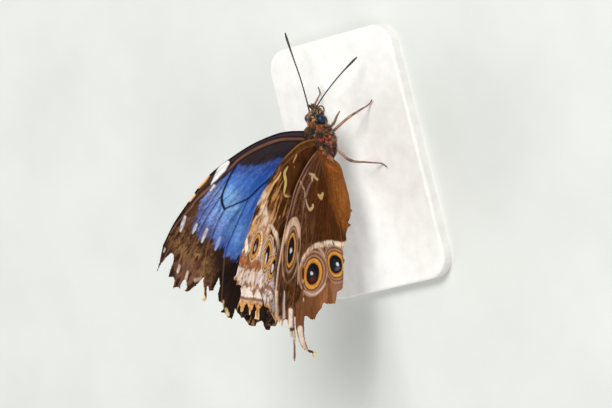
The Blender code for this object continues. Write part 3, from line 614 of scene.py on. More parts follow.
    # Eye spots
    slit = stroke([(14.7, 39.7), (15.6, 41.1)], (0.22, 0.36, 0.2))
    eye_spot(paint, (14.85, 40.0), (2.35, 3.1), (0.48, -1.42), slit, FORE_RINGS[2:] + FORE_RINGS[2:], 0.66)
    mark((96, 50, 34), 0.8, [(13.6, 38.4), (15.5, 40.6)], (0.2, 0.4, 0.2), 0.2)
    lay((168, 138, 132), 0.7 * slit)
    slit = stroke([(17.9, 36.8), (19.9, 38.9)], (0.15, 0.34, 0.2))
    eye_spot(paint, (18.3, 36.8), (2.7, 2.7), (0.25, -1.6), slit, FORE_RINGS, 0.68)
    slit = stroke([(21.2, 36.1), (22.6, 37.5)], (0.2, 0.36, 0.2))
    eye_spot(paint, (21.7, 36.4), (2.25, 2.5), (0.1, -1.5), slit, FORE_RINGS[1:], 0.66)


HIND_RINGS = (((172, 134, 112), 1.46), ((120, 78, 52), 1.36), ((168, 126, 98), 1.2))


def paint_hind_under(paint):
    t, w, streak, vein, hairs = paint.t, paint.w, paint.streak, paint.vein, paint.hairs
    lay, mark, stroke = paint.lay, paint.mark, paint.stroke
    front = paint.away_from(HIND_FRONT)
    lay((80, 45, 15), np.ones_like(t))
    lay((60, 32, 8), 0.8 * ramp(streak, 0.42, 0.58))
    lay((120, 88, 66), 0.4 * ramp(hairs, 0.56, 0.68) * ramp(w - 0.35 * t, 2.0, 6.0))
    lay((52, 27, 12), 0.6 * fade(hairs + 0.2 * streak, 0.4, 0.5) * ramp(t, 3.0, 7.0))
    # Darkest in the middle, warmer and lighter on the part that wraps the abdomen
    dark = np.exp(-((w - 0.12 * t - 6.0) / 4.2) ** 2) * ramp(t, 5.0, 9.0) * fade(t, 21, 24)
    lay((62, 27, 7), 0.85 * dark)
    lay((104, 58, 26), 0.5 * dark * ramp(hairs + 0.3 * streak, 0.62, 0.76))
    limit = np.interp(t, [0.0, 6.0, 10.0, 13.0, 18.0, 23.0], [3.4, 1.8, 2.6, 3.2, 2.6, 0.4])
    warm = fade(w - limit + 1.2 * (streak - 0.5), -1.6, 1.2)
    lay((108, 60, 20), 0.92 * warm)
    lay((152, 96, 46), 0.85 * warm * fade(w - limit, -6.4, -2.4))
    mark((176, 92, 50), 0.55, [(3.6, 1.0), (4.6, 0.0), (6.6, -2.2)], (0.2, 0.4, 0.2), 0.4)
    lay((142, 84, 40), 0.6 * warm * ramp(hairs, 0.5, 0.66))
    lay((92, 50, 20), 0.5 * warm * fade(hairs + 0.3 * streak, 0.44, 0.58))
    lay((86, 50, 32), 0.6 * fade(t, 2.0, 5.0) * ramp(streak, 0.4, 0.6))
    # Two pale lines along the front edge
    lay((54, 32, 26), 0.85 * fade(front, 0.9, 1.3) * ramp(w, 4, 8))
    lay((138, 98, 80), 0.9 * fade(front, 0.2, 0.4) * ramp(w, 2.0, 6.0))
    lay((202, 158, 130), 0.9 * fade(front, 0.32, 0.6) * ramp(w, 22.5, 26.0))
    lay((148, 104, 82), 0.8 * fade(np.abs(front - 0.95), 0.08, 0.24) * ramp(w, 8, 11) * fade(w, 19, 22))
    # Marks near the root
    lilac = [(6.6, 8.2), (8.1, 10.6), (9.7, 12.4), (11.1, 13.8), (14.0, 15.6), (18.0, 17.8)]
    mark((128, 98, 100), 0.85, lilac, (0.24, 0.26, 0.26, 0.22, 0.12, 0.05))
    cream = (188, 156, 110)
    mark((178, 152, 120), 0.95, [(5.0, 8.8), (5.6, 6.9)], (0.3, 0.34))
    mark((178, 152, 120), 0.95, [(5.4, 8.0), (6.8, 8.4)], (0.5, 0.34))
    mark(cream, 0.95, [(5.8, 7.4), (6.8, 6.3)], (0.4, 0.32))
    mark((168, 138, 106), 0.9, [(6.4, 13.4), (7.4, 13.2), (9.2, 12.8), (10.6, 13.4)], (0.2, 0.3, 0.26, 0.2))
    hook = [(11.2, 13.2), (12.7, 13.0), (13.7, 12.4), (13.5, 11.2), (12.8, 10.6)]
    mark((50, 28, 18), 0.6, hook, 0.8, 0.3)
    mark(cream, 1.0, hook, (0.3, 0.42, 0.46, 0.34, 0.3))
    mark((200, 158, 104), 0.97, [(10.7, 7.5), (11.4, 6.5), (10.7, 5.1)], (0.35, 0.72, 0.4))
    # Below the eye spots: plain warm brown with lighter streaks
    low = ramp(t - 0.25 * (w - 12), 31.0, 33.5)
    lay((128, 80, 46), 0.9 * low)
    lay((158, 104, 66), 0.7 * low * ramp(streak, 0.48, 0.62))
    lay((98, 58, 34), 0.7 * low * ramp(w, 18, 22))
    lay((150, 108, 92), 0.6 * low * fade(w, 9, 13))
    # Pale band over the two large eye spots and the flame round the front one
    pale = (218, 192, 166)
    for line, halves in (
            ([(27.8, 22.6), (26.2, 21.4), (24.6, 19.3), (23.4, 16.5), (22.9, 13.9), (23.0, 11.5)],
             (0.3, 0.4, 0.5, 0.6)),
            ([(22.9, 13.9), (23.0, 11.5), (23.1, 8.9), (23.4, 6.9), (24.2, 4.6), (24.9, 2.8), (25.0, 0.6)],
             (0.6, 0.7, 0.8, 1.0, 1.2, 1.3))):
        mark((58, 30, 16), 0.6, line, np.array(halves) + 0.35, 0.3)
        lay((150, 108, 82), 0.85 * stroke(line, np.array(halves) + 0.1, 0.4) * ramp(streak, 0.3, 0.6))
        lay(pale, 0.95 * stroke(line, halves, 0.22) * (0.35 + 0.65 * ramp(hairs + 0.3 * streak, 0.48, 0.64)))
    band_at = np.interp(w, [0, 5, 9, 12, 16.5, 19.3, 21.4], [24.9, 24.0, 23.1, 23.0, 23.4, 24.6, 26.2])
    lay((170, 128, 104), 0.7 * ramp(t - band_at, 0.4, 0.9) * fade(t - band_at, 3.0, 6.0)
        * ramp(hairs, 0.44, 0.56) * fade(w, 20.0, 22.0))
    mark((236, 218, 200), 0.7, [(22.8, 9.8), (22.9, 7.4), (23.9, 4.6), (24.3, 2.2)], (0.3, 0.5), 0.25)
    # A thin brown line and a lilac one below the band, and a grey notch in it
    below = [(27.6, 20.9), (25.8, 19.6), (24.6, 17.2), (24.1, 14.4), (24.4, 11.6), (25.0, 9.4), (25.4, 6.4),
             (26.2, 4.2)]
    mark((116, 74, 52), 0.9, below, 0.34, 0.15)
    mark((60, 44, 38), 0.85, [(22.9, 6.0), (24.3, 5.6)], (0.16, 0.4, 0.2), 0.15)
    flame = paint.oval((22.45, 24.3), (4.15, 2.6), (0.3, -1.85))
    lay((206, 180, 152), 0.95 * fade(flame, 1.86, 1.98) * fade(t, 18.5, 21.0) * ramp(t, 14.4, 14.9))
    lay((196, 152, 128), 0.8 * fade(flame, 1.86, 1.98) * fade(t, 18.5, 21.0) * ramp(hairs, 0.5, 0.7)
        * ramp(t, 14.4, 14.9))
    lay((176, 136, 110), 0.9 * fade(np.abs(flame - 1.84), 0.06, 0.14) * fade(t, 27.0, 31.0)
        * ramp(t, 14.8, 16.0))
    mark((188, 152, 130), 0.9, [(23.4, 21.9), (25.4, 22.8), (28.0, 23.4), (31.0, 24.9)],
         (0.12, 0.4, 0.5, 0.2), 0.2)
    mark((182, 142, 124), 0.9, [(23.8, 12.3), (24.5, 11.7), (25.7, 11.3), (27.3, 11.6), (29.0, 11.8),
                                (31.4, 12.6)], (0.45, 0.4, 0.34, 0.34, 0.3, 0.1))
    # Strips of the outer edge
    ivory = (226, 204, 186)
    mark(ivory, 0.95, [(37.1, 30.6), (40.8, 32.2)], (0.8, 0.85), 0.2)
    mark((204, 182, 168), 0.6, [(38.0, 30.6), (41.0, 31.8)], (0.3, 0.3), 0.3)
    mark((44, 30, 26), 0.95, [(41.4, 32.4), (41.9, 31.2)], 0.42, 0.15)
    mark((206, 190, 166), 0.95, [(42.3, 32.5), (43.6, 32.8)], (0.4, 0.2), 0.15)
    mark((216, 184, 156), 0.95, [(42.3, 31.5), (44.4, 31.9), (45.4, 32.3)], (0.45, 0.35, 0.2), 0.15)
    mark((116, 76, 50), 0.95, [(45.6, 32.4), (48.6, 33.7)], 0.5, 0.2)
    lay((176, 150, 132), 0.9 * paint.round((49.0, 33.8), 0.4))
    mark(ivory, 0.97, [(42.4, 28.6), (44.6, 28.8), (46.4, 28.6)], (1.25, 1.1, 0.6), 0.2)
    mark((206, 174, 140), 0.9, [(46.2, 28.6), (47.6, 27.7)], (0.6, 0.3), 0.2)
    mark((150, 112, 88), 0.6, [(42.6, 27.6), (45.8, 27.9), (47.2, 27.4)], (0.25, 0.2), 0.2)
    mark((70, 50, 40), 0.9, [(47.9, 27.2), (48.5, 25.8)], 0.5, 0.2)
    lay((236, 206, 138), paint.round((49.2, 25.1), 0.75, 0.2))
    mark((206, 190, 182), 0.9, [(32.0, 31.4), (35.6, 33.2), (38.0, 34.0)], (0.3, 0.7, 0.6), 0.2)
    mark((212, 186, 166), 0.85, [(31.5, 34.4), (35.0, 35.8), (38.4, 37.0)], (0.4, 0.6, 0.4), 0.25)
    lay((214, 158, 108), 0.85 * ramp(0.75 - paint.rim, 0.0, 0.3) * ramp(w, 34.4, 35.0) * ramp(t, 36.6, 37.4))
    mark((40, 30, 30), 0.85, [(29.6, 30.6), (33.2, 32.8), (38.2, 35.3)], 0.3, 0.1)
    mark((120, 90, 74), 0.7, [(30.0, 33.0), (34.0, 35.0), (37.4, 36.4)], 0.14, 0.1)
    line = fade(vein, 0.08, 0.26)
    lay((130, 92, 78), 0.35 * line * (1 - warm) * (1 - dark))
    lay((112, 62, 40), 0.4 * line * ramp(t, 20, 22))
    # Eye spots: a long one in front and two large ones behind
    spot = paint.blob((22.5, 24.2), (0.62, 0.4), (0.1, -0.5), 0.25)
    eye_spot(paint, (22.45, 24.3), (4.15, 2.6), (0.3, -1.85), spot,
             (((98, 68, 50), 1.4), ((160, 126, 102), 1.3), ((112, 78, 58), 1.2)), 0.76)
    spot = paint.round((28.8, 6.4), 0.5, 0.25)
    eye_spot(paint, (28.65, 7.2), (3.25, 0.9), (0.65, -3.4), spot, HIND_RINGS, 0.72)
    lay((110, 110, 122), 0.5 * paint.blob((29.9, 6.9), (0.4, 0.1), (0.1, 1.0), 0.6))
    spot = paint.blob((29.3, 17.9), (0.45, 0.1), (0.1, -0.66), 0.25)
    ring = eye_spot(paint, (29.5, 17.6), (3.75, 2.1), (0.62, -4.0), spot, HIND_RINGS, 0.7)
    lay((96, 34, 28), 0.75 * fade(ring, 0.4, 0.62) * ramp(t, 30.1, 30.8))
    # A narrow spot in a fold between the large ones
    mark((170, 100, 44), 0.85, [(27.2, 21.1), (30.4, 22.6)], (0.5, 0.62, 0.5), 0.15)
    mark((30, 21, 18), 0.95, [(27.6, 21.4), (30.0, 22.4)], (0.3, 0.4, 0.3), 0.12)
    mark((196, 168, 140), 0.8, [(30.6, 22.6), (31.2, 22.9)], 0.22, 0.12)
    mark((60, 36, 26), 0.85, [(31.4, 22.9), (33.0, 23.6)], 0.3, 0.15)
    mark((196, 116, 52), 0.9, [(33.4, 23.7), (34.0, 23.9)], 0.26, 0.15)
    mark((206, 180, 150), 0.9, [(34.9, 24.2), (35.4, 24.4)], 0.25, 0.15)
    mark((204, 176, 162), 0.9, [(33.0, 23.2), (34.3, 20.6), (34.5, 18.4), (33.9, 15.9), (32.7, 13.6)],
         (0.15, 0.32, 0.34, 0.32, 0.15))


# The blue field of the upper side, as its outline
BLUE_FIELD = [
    (9.0, 4.0), (5.3, 8.5), (5.7, 13.0), (5.5, 17.0), (5.1, 20.3), (4.1, 21.7), (4.9, 23.7), (6.1, 27.9),
    (7.9, 31.4), (9.5, 34.0), (11.2, 36.0), (13.1, 37.0), (15.3, 38.8), (17.5, 39.8), (19.0, 37.2),
    (19.0, 35.4), (20.3, 34.9), (22.8, 34.0), (23.5, 31.8), (25.0, 31.6), (26.5, 30.5), (26.4, 27.0),
    (27.8, 22.0), (26.0, 16.5), (20.0, 11.0), (14.0, 6.5),
]


def paint_fore_upper(paint):
    t, w, streak, fine, vein, hairs = paint.t, paint.w, paint.streak, paint.fine, paint.vein, paint.hairs
    lay, mark, stroke = paint.lay, paint.mark, paint.stroke
    n = paint.rank(FORE_RANK)
    front = paint.away_from(FORE_FRONT)
    # Worn brown border: dark with golden smears
    lay((84, 57, 40), np.ones_like(t))
    lay((130, 88, 58), 0.8 * ramp(streak + 0.5 * fine, 0.66, 0.82) * ramp(w, 33, 37))
    lay((44, 30, 23), 0.75 * ramp(streak + 0.3 * hairs, 0.62, 0.86))
    lay((150, 104, 66), 0.6 * ramp(hairs + 0.2 * (fine - 0.5), 0.58, 0.7) * ramp(w, 32, 36)
        * ramp(streak, 0.35, 0.5))
    for middle in ((21.2, 43.7), (22.8, 40.1), (25.8, 38.4), (23.8, 43.7), (20.3, 46.0), (27.6, 40.6)):
        lay((172, 130, 82), 0.8 * paint.glow(middle, 1.3, 1.2) * ramp(hairs + 0.2 * (fine - 0.5), 0.36, 0.54))
    lay((34, 24, 20), 0.6 * fade(streak + 0.3 * (hairs - 0.5), 0.34, 0.48) * ramp(n, 35, 38))
    lay((142, 100, 82), 0.6 * ramp(w, 40.0, 44.5) * ramp(t, 21.0, 25.0) * ramp(streak, 0.4, 0.6))
    lay((46, 32, 25), 0.8 * paint.glow((26.5, 33.0), 4.5, 3.6) * (0.6 + 0.4 * ramp(streak, 0.35, 0.55)))
    lay((30, 22, 20), 0.88 * ramp(t - 0.5 * (w - 30), 24.5, 28.0) * fade(w, 36, 40))
    lay((40, 29, 27), 0.7 * ramp(w, 48.5, 50.5))
    # Slate field in front
    slate = fade(w, 21.5, 24.0) * fade(t, 6.5, 9.0)
    lay((49, 41, 43), slate)
    lay((56, 46, 54), 0.5 * slate * ramp(paint.broad, 0.4, 0.6))
    # Blue field with feathered edges
    edge = np.array(BLUE_FIELD + BLUE_FIELD[:1])
    deep = line_distance(paint.points, smooth_route(edge, 4))[0]
    deep = np.where(inside(paint.points, edge[:-1]), deep, -deep)
    upper_edge = ramp(7.5 - t, -2.5, 3.0) * fade(w, 22.0, 25.0)
    jag = 1 - 0.7 * upper_edge
    feather = (deep - 1.1 * ramp(n, 27, 33) + jag * (3.6 * (streak - 0.5) + 2.4 * (hairs - 0.5))
               + 0.25 * np.minimum(vein, 1.6))
    blue = ramp(feather, -0.9, 0.9)
    lay((54, 54, 96), 0.9 * ramp(feather, -1.4, 0.4) * np.maximum(upper_edge, 0.4))
    lay((84, 134, 214), 0.98 * blue)
    lay((50, 104, 202), 0.8 * blue * fade(w, 15.0, 23.0))
    lay((62, 72, 140), 0.9 * blue * fade(feather, 0.4, 3.8) * upper_edge)
    lay((84, 114, 194), 0.6 * blue * fade(feather, 0.4, 3.0) * ramp(w, 27, 31))
    for middle, reach, colour, most in (((12.0, 26.6), (4.6, 4.6), (146, 200, 250), 0.95),
                                        ((15.2, 31.6), (4.4, 4.0), (146, 176, 236), 0.9),
                                        ((19.6, 26.0), (5.0, 4.2), (118, 172, 236), 0.8),
                                        ((9.2, 30.2), (2.6, 3.4), (146, 168, 226), 0.8)):
        lay(colour, most * blue * ramp(paint.glow(middle, *reach) + 0.35 * (hairs - 0.5), 0.15, 0.95))
    light = np.maximum(paint.glow((12.5, 27.5), 7.0, 6.0), 0.35)
    lay((180, 216, 255), 0.5 * blue * light * ramp(hairs + 0.5 * (fine - 0.5), 0.58, 0.78))
    lay((56, 88, 176), 0.45 * blue * ramp(streak + 0.3 * (fine - 0.5), 0.56, 0.74))
    lay((112, 104, 184), 0.45 * blue * ramp(fine, 0.56, 0.72) * ramp(w, 28, 33))
    lay((96, 70, 120), 0.4 * blue * ramp(paint.grain, 0.6, 0.75) * ramp(w, 18, 26))
    worn = fade(feather, 0.6, 4.4) * ramp(w, 25.0, 29.0) * fade(t, 17, 21)
    lay((112, 86, 74), 0.8 * blue * worn * ramp(streak + 0.3 * (hairs - 0.5), 0.48, 0.64))
    lay((178, 190, 222), 0.4 * blue * worn * fade(streak + 0.4 * (fine - 0.5), 0.3, 0.42))
    paint.shine = blue
    # Front edge: black rim, lilac grey band, then the copper line
    lilac = fade(w, 21.0, 24.0)
    lay((66, 54, 64), 0.8 * lilac * fade(front, 1.1, 1.5))
    lay((16, 12, 12), 0.95 * fade(front, 0.28, 0.6))
    copper = [(1.1, 1.6), (-0.1, 7.3), (0.1, 11.7), (0.9, 16.2), (2.1, 20.3), (3.2, 22.3), (4.2, 24.4),
              (5.5, 27.1), (7.0, 30.4), (8.3, 33.7), (10.0, 36.8), (12.3, 40.9), (14.1, 44.3), (16.0, 47.5)]
    mark((30, 21, 20), 0.8, copper, 0.75, 0.25)
    mark((122, 84, 66), 0.9, copper, (0.3, 0.34, 0.3, 0.24, 0.26, 0.24, 0.2))
    second = [(6.6, 29.3), (8.4, 33.0), (9.6, 35.9), (11.1, 38.2), (12.4, 40.6)]
    mark((150, 108, 80), 0.7, second, 0.16)
    # White bar and the pale marks beside it
    bar = [(2.3, 23.6), (3.3, 25.3), (4.3, 27.0), (5.5, 28.5), (6.7, 30.2)]
    mark((30, 22, 22), 0.85, bar, (0.9, 1.35, 1.3, 0.9, 0.4), 0.25)
    mark((244, 240, 240), 1.0, bar, (0.4, 0.9, 0.85, 0.55, 0.15))
    mark((224, 222, 226), 0.9, [(7.1, 29.3), (8.1, 31.0)], (0.32, 0.2))
    mark((236, 186, 130), 0.95, [(4.4, 30.2), (5.6, 32.3), (6.8, 34.4)], (0.2, 0.3, 0.15))
    mark((238, 204, 166), 0.97, [(8.1, 36.3), (9.3, 38.3)], (0.38, 0.32))
    lay((186, 92, 52), 0.8 * paint.round((9.5, 38.7), 0.25))
    # Veins: dark on the blue, copper on the border
    line = fade(vein, 0.08, 0.26)
    lay((44, 58, 120), 0.75 * line * blue)
    lay((136, 100, 72), 0.55 * line * (1 - blue) * ramp(n, 36, 40))
    mark((30, 22, 46), 0.95, FORE_CROSS, (0.3, 0.26, 0.3, 0.44, 0.4))
    mark((30, 30, 58), 0.92, FORE_STEM, (0.1, 0.26, 0.26, 0.22, 0.16))
    # White spots in a row, cream ones along the outer edge
    for ends, half, colour in ((((13.0, 41.0), (16.1, 43.8)), (0.34, 0.55, 0.3), (242, 240, 242)),
                               (((15.6, 37.8), (17.4, 39.9)), (0.3, 0.38, 0.2), (238, 236, 246)),
                               (((17.4, 35.0), (20.1, 37.7)), (0.36, 0.42, 0.25), (240, 240, 246)),
                               (((20.2, 31.7), (22.8, 34.1)), (0.4, 0.46, 0.2), (200, 212, 250)),
                               (((19.5, 51.0), (20.2, 51.8)), (0.25, 0.2), (238, 216, 206)),
                               (((24.5, 47.3), (25.9, 48.5)), (0.36, 0.4), (240, 220, 206)),
                               (((26.5, 44.8), (27.9, 46.2)), (0.36, 0.42), (236, 208, 178)),
                               (((29.0, 43.2), (28.9, 40.9)), (0.5, 0.4), (214, 180, 152)),
                               (((35.8, 35.5), (36.9, 36.0)), (0.3, 0.3), (226, 192, 130)),
                               (((37.9, 35.3), (39.3, 35.2)), (0.4, 0.5), (244, 216, 164))):
        lay(np.array(colour) * 0.94, 0.97 * stroke(ends, half, 0.2) * (0.6 + 0.4 * ramp(hairs, 0.3, 0.5)))
    lay((236, 202, 150), paint.round((34.2, 41.6), 0.85, 0.2))


def paint_hind_upper(paint):
    t, w, streak, fine, vein = paint.t, paint.w, paint.streak, paint.fine, paint.vein
    lay = paint.lay
    n = paint.rank(HIND_RANK)
    lay((34, 25, 23), np.ones_like(t))
    lay((96, 70, 52), 0.4 * ramp(streak, 0.55, 0.72) * ramp(n, 33, 38))
    front = paint.away_from(HIND_FRONT)
    blue = ramp(front + 1.6 * (streak - 0.5), 3.2, 5.0) * fade(n - 2.4 * (streak - 0.5), 31.5, 34.0)
    blue = blue * ramp(w, 1.2, 4.5) * ramp(t, 1.0, 4.0)
    lay((44, 74, 176), 0.97 * blue)
    light = np.exp(-(((t - 16.0) / 8.0) ** 2 + ((w - 14.0) / 7.0) ** 2))
    lay((104, 164, 244), 0.8 * blue * ramp(light + 0.3 * (streak - 0.5), 0.25, 0.95))
    paint.shine = blue
    lay((92, 66, 48), 0.8 * fade(w, 0.0, 3.0))
    line = fade(vein, 0.14, 0.34)
    lay((30, 26, 44), 0.8 * line)
    for middle in ((39.1, 27.4), (38.4, 28.6), (36.0, 20.5), (34.5, 12.5)):
        lay((176, 112, 68), 0.8 * paint.round(middle, 0.4, 0.5))
    lay((84, 58, 42), 0.8 * ramp(n, 34.0, 38.0) * ramp(streak + 0.4 * fine, 0.56, 0.8))
    lay((168, 122, 80), 0.7 * ramp(n, 38.0, 42.0) * ramp(paint.hairs + 0.4 * fine, 0.78, 0.9))


# Meshes and materials


def new_mesh(name, verts, faces, smooth=True):
    """A mesh from arrays. All faces have the same number of corners."""
    mesh = bpy.data.meshes.new(name)
    verts = np.asarray(verts, np.float32)
    mesh.vertices.add(len(verts))
    mesh.vertices.foreach_set("co", verts.ravel())
    count, corners = faces.shape
    mesh.loops.add(faces.size)
    mesh.loops.foreach_set("vertex_index", faces.ravel().astype(np.int32))
    mesh.polygons.add(count)
    mesh.polygons.foreach_set("loop_start", np.arange(0, faces.size, corners, dtype=np.int32))
    mesh.update(calc_edges=True)
    mesh.validate()
    if smooth:
        mesh.shade_smooth()
    return mesh


def tube_faces(rings, sides):
    """Faces round rings of vertices, closed at both ends by the two vertices that follow the rings."""
    faces = []
    for ring in range(rings - 1):
        for k in range(sides):
            a = ring * sides + k
            b = ring * sides + (k + 1) % sides
            faces += [(a, b, b + sides), (a, b + sides, a + sides)]
    last = (rings - 1) * sides
    for k in range(sides):
        faces.append((rings * sides, (k + 1) % sides, k))
        faces.append((rings * sides + 1, last + k, last + (k + 1) % sides))
    return np.array(faces)


def add_object(name, data):
    made = bpy.data.objects.new(name, data)
    bpy.context.scene.collection.objects.link(made)
    return made


def add_piece(name, mesh, material, nodes):
    piece = add_object(name, mesh)
    mesh.materials.append(material)
    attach(piece, "root")
    if nodes:
        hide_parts(*nodes)


def set_uv(mesh, places):
    layer = mesh.uv_layers.new(name="OFBake")
    index = np.empty(len(mesh.loops), np.int32)
    mesh.loops.foreach_get("vertex_index", index)
    layer.data.foreach_set("uv", places[index].astype(np.float32).ravel())


def set_colours(mesh, name, colours):
    layer = mesh.color_attributes.new(name, "FLOAT_COLOR", "POINT")
    full = np.ones((len(colours), 4), np.float32)
    full[:, :3] = colours
    layer.data.foreach_set("color", full.ravel())


def set_values(mesh, name, values):
    layer = mesh.attributes.new(name, "FLOAT", "POINT")
    layer.data.foreach_set("value", np.asarray(values, np.float32))


class Nodes:
    """A small helper to build one Principled material."""

    def __init__(self, name):
        self.material = bpy.data.materials.new(name)
        self.material.use_nodes = True
        self.tree = self.material.node_tree
        self.shader = self.tree.nodes["Principled BSDF"]

    def add(self, kind, **values):
        node = self.tree.nodes.new(kind)
        for key, value in values.items():
            setattr(node, key, value)
        return node

    def link(self, output, target):
        self.tree.links.new(output, target)

    def noise(self, scale, detail=3.0, rough=0.55):
        place_node = self.add("ShaderNodeTexCoord")
        node = self.add("ShaderNodeTexNoise")
        node.inputs["Scale"].default_value = scale
        node.inputs["Detail"].default_value = detail
        node.inputs["Roughness"].default_value = rough
        self.link(place_node.outputs["Object"], node.inputs["Vector"])
        return node.outputs["Fac"]

    def cells(self, scale):
        place_node = self.add("ShaderNodeTexCoord")
        node = self.add("ShaderNodeTexVoronoi", feature="F1")
        node.inputs["Scale"].default_value = scale
        self.link(place_node.outputs["Object"], node.inputs["Vector"])
        return node.outputs["Distance"]

    def range(self, value, low, high, to_low, to_high):
        node = self.add("ShaderNodeMapRange")
        node.inputs["From Min"].default_value = low
        node.inputs["From Max"].default_value = high
        node.inputs["To Min"].default_value = to_low
        node.inputs["To Max"].default_value = to_high
        self.link(value, node.inputs["Value"])
        return node.outputs["Result"]

    def mix(self, factor, first, second, blend="MIX"):
        node = self.add("ShaderNodeMix", data_type="RGBA", blend_type=blend)
        for value, socket in ((factor, node.inputs[0]), (first, node.inputs[6]), (second, node.inputs[7])):
            if isinstance(value, bpy.types.NodeSocket):
                self.link(value, socket)
            elif isinstance(value, tuple):
                socket.default_value = (*value, 1.0)
            else:
                socket.default_value = value
        return node.outputs[2]

    def bump(self, height, strength, distance):
        node = self.add("ShaderNodeBump")
        node.inputs["Strength"].default_value = strength
        node.inputs["Distance"].default_value = distance
        self.link(height, node.inputs["Height"])
        self.link(node.outputs["Normal"], self.shader.inputs["Normal"])

    def attribute(self, name):
        return self.add("ShaderNodeAttribute", attribute_name=name)

    def two_tone(self, value, ends, colours, shares=(0.0, 1.0)):
        """The base colour goes from one colour to the other while the value passes from end to end."""
        first, second = (tuple(linear(colour)) for colour in colours)
        self.link(self.mix(self.range(value, *ends, *shares), first, second),
                  self.shader.inputs["Base Color"])

    def roughness(self, value, ends, shares):
        self.link(self.range(value, *ends, *shares), self.shader.inputs["Roughness"])


def wing_material(name):
    made = Nodes(name)
    paint = made.attribute("paint").outputs["Color"]
    grain = made.noise(4200.0, 3.0)
    mottle = made.noise(900.0, 3.0)
    dusk = made.mix(1.0, paint, (0.56, 0.53, 0.52), "MULTIPLY")
    worn = made.mix(made.range(grain, 0.3, 0.7, 0.0, 0.5), paint, dusk)
    light = made.mix(1.0, worn, (1.22, 1.2, 1.18), "MULTIPLY")
    made.link(made.mix(made.range(mottle, 0.35, 0.65, 0.0, 0.8), light, worn),
              made.shader.inputs["Base Color"])
    shine = made.attribute("shine").outputs["Fac"]
    made.roughness(shine, (0.0, 1.0), (0.78, 0.45))
    made.link(made.range(shine, 0.0, 1.0, 0.0, 0.15), made.shader.inputs["Metallic"])
    made.shader.inputs["Specular IOR Level"].default_value = 0.04
    made.bump(grain, 0.35, 0.00006)
    return made.material


def skin_material(name, colours, scale, roughness):
    made = Nodes(name)
    made.two_tone(made.noise(scale, 4.0), (0.35, 0.65), colours)
    made.roughness(made.noise(scale * 2.0), (0.3, 0.7), (roughness - 0.08, roughness + 0.08))
    made.bump(made.noise(scale * 3.0), 0.5, 0.00005)
    return made.material


def coat_material(name):
    made = Nodes(name)
    colour = made.attribute("paint").outputs["Color"]
    grain = made.noise(3000.0, 2.0)
    dim = made.mix(1.0, colour, (0.55, 0.5, 0.48), "MULTIPLY")
    made.link(made.mix(made.range(grain, 0.35, 0.65, 0.0, 0.5), colour, dim),
              made.shader.inputs["Base Color"])
    made.roughness(grain, (0.3, 0.7), (0.5, 0.7))
    made.shader.inputs["Sheen Weight"].default_value = 0.15
    return made.material


def wing_piece(name, node, surface, side, front, edge, back, veins, under, upper, material, seed):
    """One wing as a thin closed sheet, painted apart on its two faces."""
    flat, faces, outline = flat_wing(front, edge, back, seed)
    tail = flat[:, 0].copy()
    out = flat[:, 1].copy()
    step = 0.05
    here = surface(side, tail, out)
    along = surface(side, tail + step, out) - here
    across = surface(side, tail, out + step) - here
    normal = unit(np.cross(along, across) * -side)
    below = Paint(flat, veins, outline, seed)
    above = Paint(flat, veins, outline, seed + 1)
    under(below)
    upper(above)
    ridge = RIDGE_HEIGHT * np.exp(-(below.vein / RIDGE_REACH) ** 2)
    pleat = PLEAT_DEPTH * (ramp(below.vein, 0.0, PLEAT_REACH) - 0.5) * ramp(below.rim, 0.0, 1.5)
    wave = Noise(seed + 2)
    ripple = (RIPPLE_DEPTH * (wave(tail * 0.25, out * 0.25, 2) - 0.5)
              + FAN_RIPPLE_DEPTH * (wave(below.angle * 40.0, below.reach * 0.1) - 0.5))
    thick = WING_HALF * (0.35 + 0.65 * ramp(below.rim, 0.0, 0.6))
    middle = here + normal * (pleat + ripple * ramp(below.reach, 8.0, 16.0))[:, None]
    top = middle + normal * (thick + ridge)[:, None]
    low = middle - normal * (thick + ridge)[:, None]
    count = len(flat)
    ends = np.concatenate([faces[:, [0, 1]], faces[:, [1, 2]], faces[:, [2, 0]]])
    forward = {(int(a), int(b)) for a, b in ends}
    walls = []
    for a, b in forward:
        if (b, a) not in forward:
            walls.append((a, b + count, b))
            walls.append((a, a + count, b + count))
    turned = faces if side < 0 else faces[:, ::-1]
    walls = np.array(walls)
    if side > 0:
        walls = walls[:, ::-1]
    every = np.vstack([turned, turned[:, ::-1] + count, walls])
    mesh = new_mesh(name, place(np.vstack([top, low])), every)
    set_colours(mesh, "paint", np.vstack([above.colour, below.colour]))
    set_values(mesh, "shine", np.concatenate([above.shine, below.shine]))
    low_corner = flat.min(0)
    spread = (flat.max(0) - low_corner).max() * 1.04
    face_uv = (flat - low_corner) / spread * 0.48 + 0.01
    set_uv(mesh, np.vstack([face_uv, face_uv + np.array((0.5, 0.0))]))
    add_piece(name, mesh, material, [node[0]])


def build_wings():
    scales = wing_material("wing_scales")
    plans = [
        ("forewing_left_scaled", ("forewing_left", "forewing_scales"), fore_surface, -1, FORE_FRONT,
         LEFT_FORE_EDGE, FORE_BACK, FORE_VEINS, paint_fore_under, paint_fore_upper, 11),
        ("forewing_right_scaled", ("forewing_right", "forewing_scales"), fore_surface, 1, FORE_FRONT,
         RIGHT_FORE_EDGE, RIGHT_FORE_BACK, FORE_VEINS, paint_fore_under, paint_fore_upper, 21),
        ("hindwing_left_scaled", ("hindwing_left", "hindwing_scales"), hind_surface, -1, HIND_FRONT,
         LEFT_HIND_EDGE, HIND_INNER, HIND_VEINS, paint_hind_under, paint_hind_upper, 31),
        ("hindwing_right_scaled", ("hindwing_right", "hindwing_scales"), hind_surface, 1, HIND_FRONT,
         RIGHT_HIND_EDGE, RIGHT_HIND_INNER, HIND_VEINS, paint_hind_under, paint_hind_upper, 41),
    ]
    for name, node, surface, side, front, edge, back, veins, under, upper, seed in plans:
        wing_piece(name, node, surface, side, front, edge, back, veins, under, upper, scales, seed)


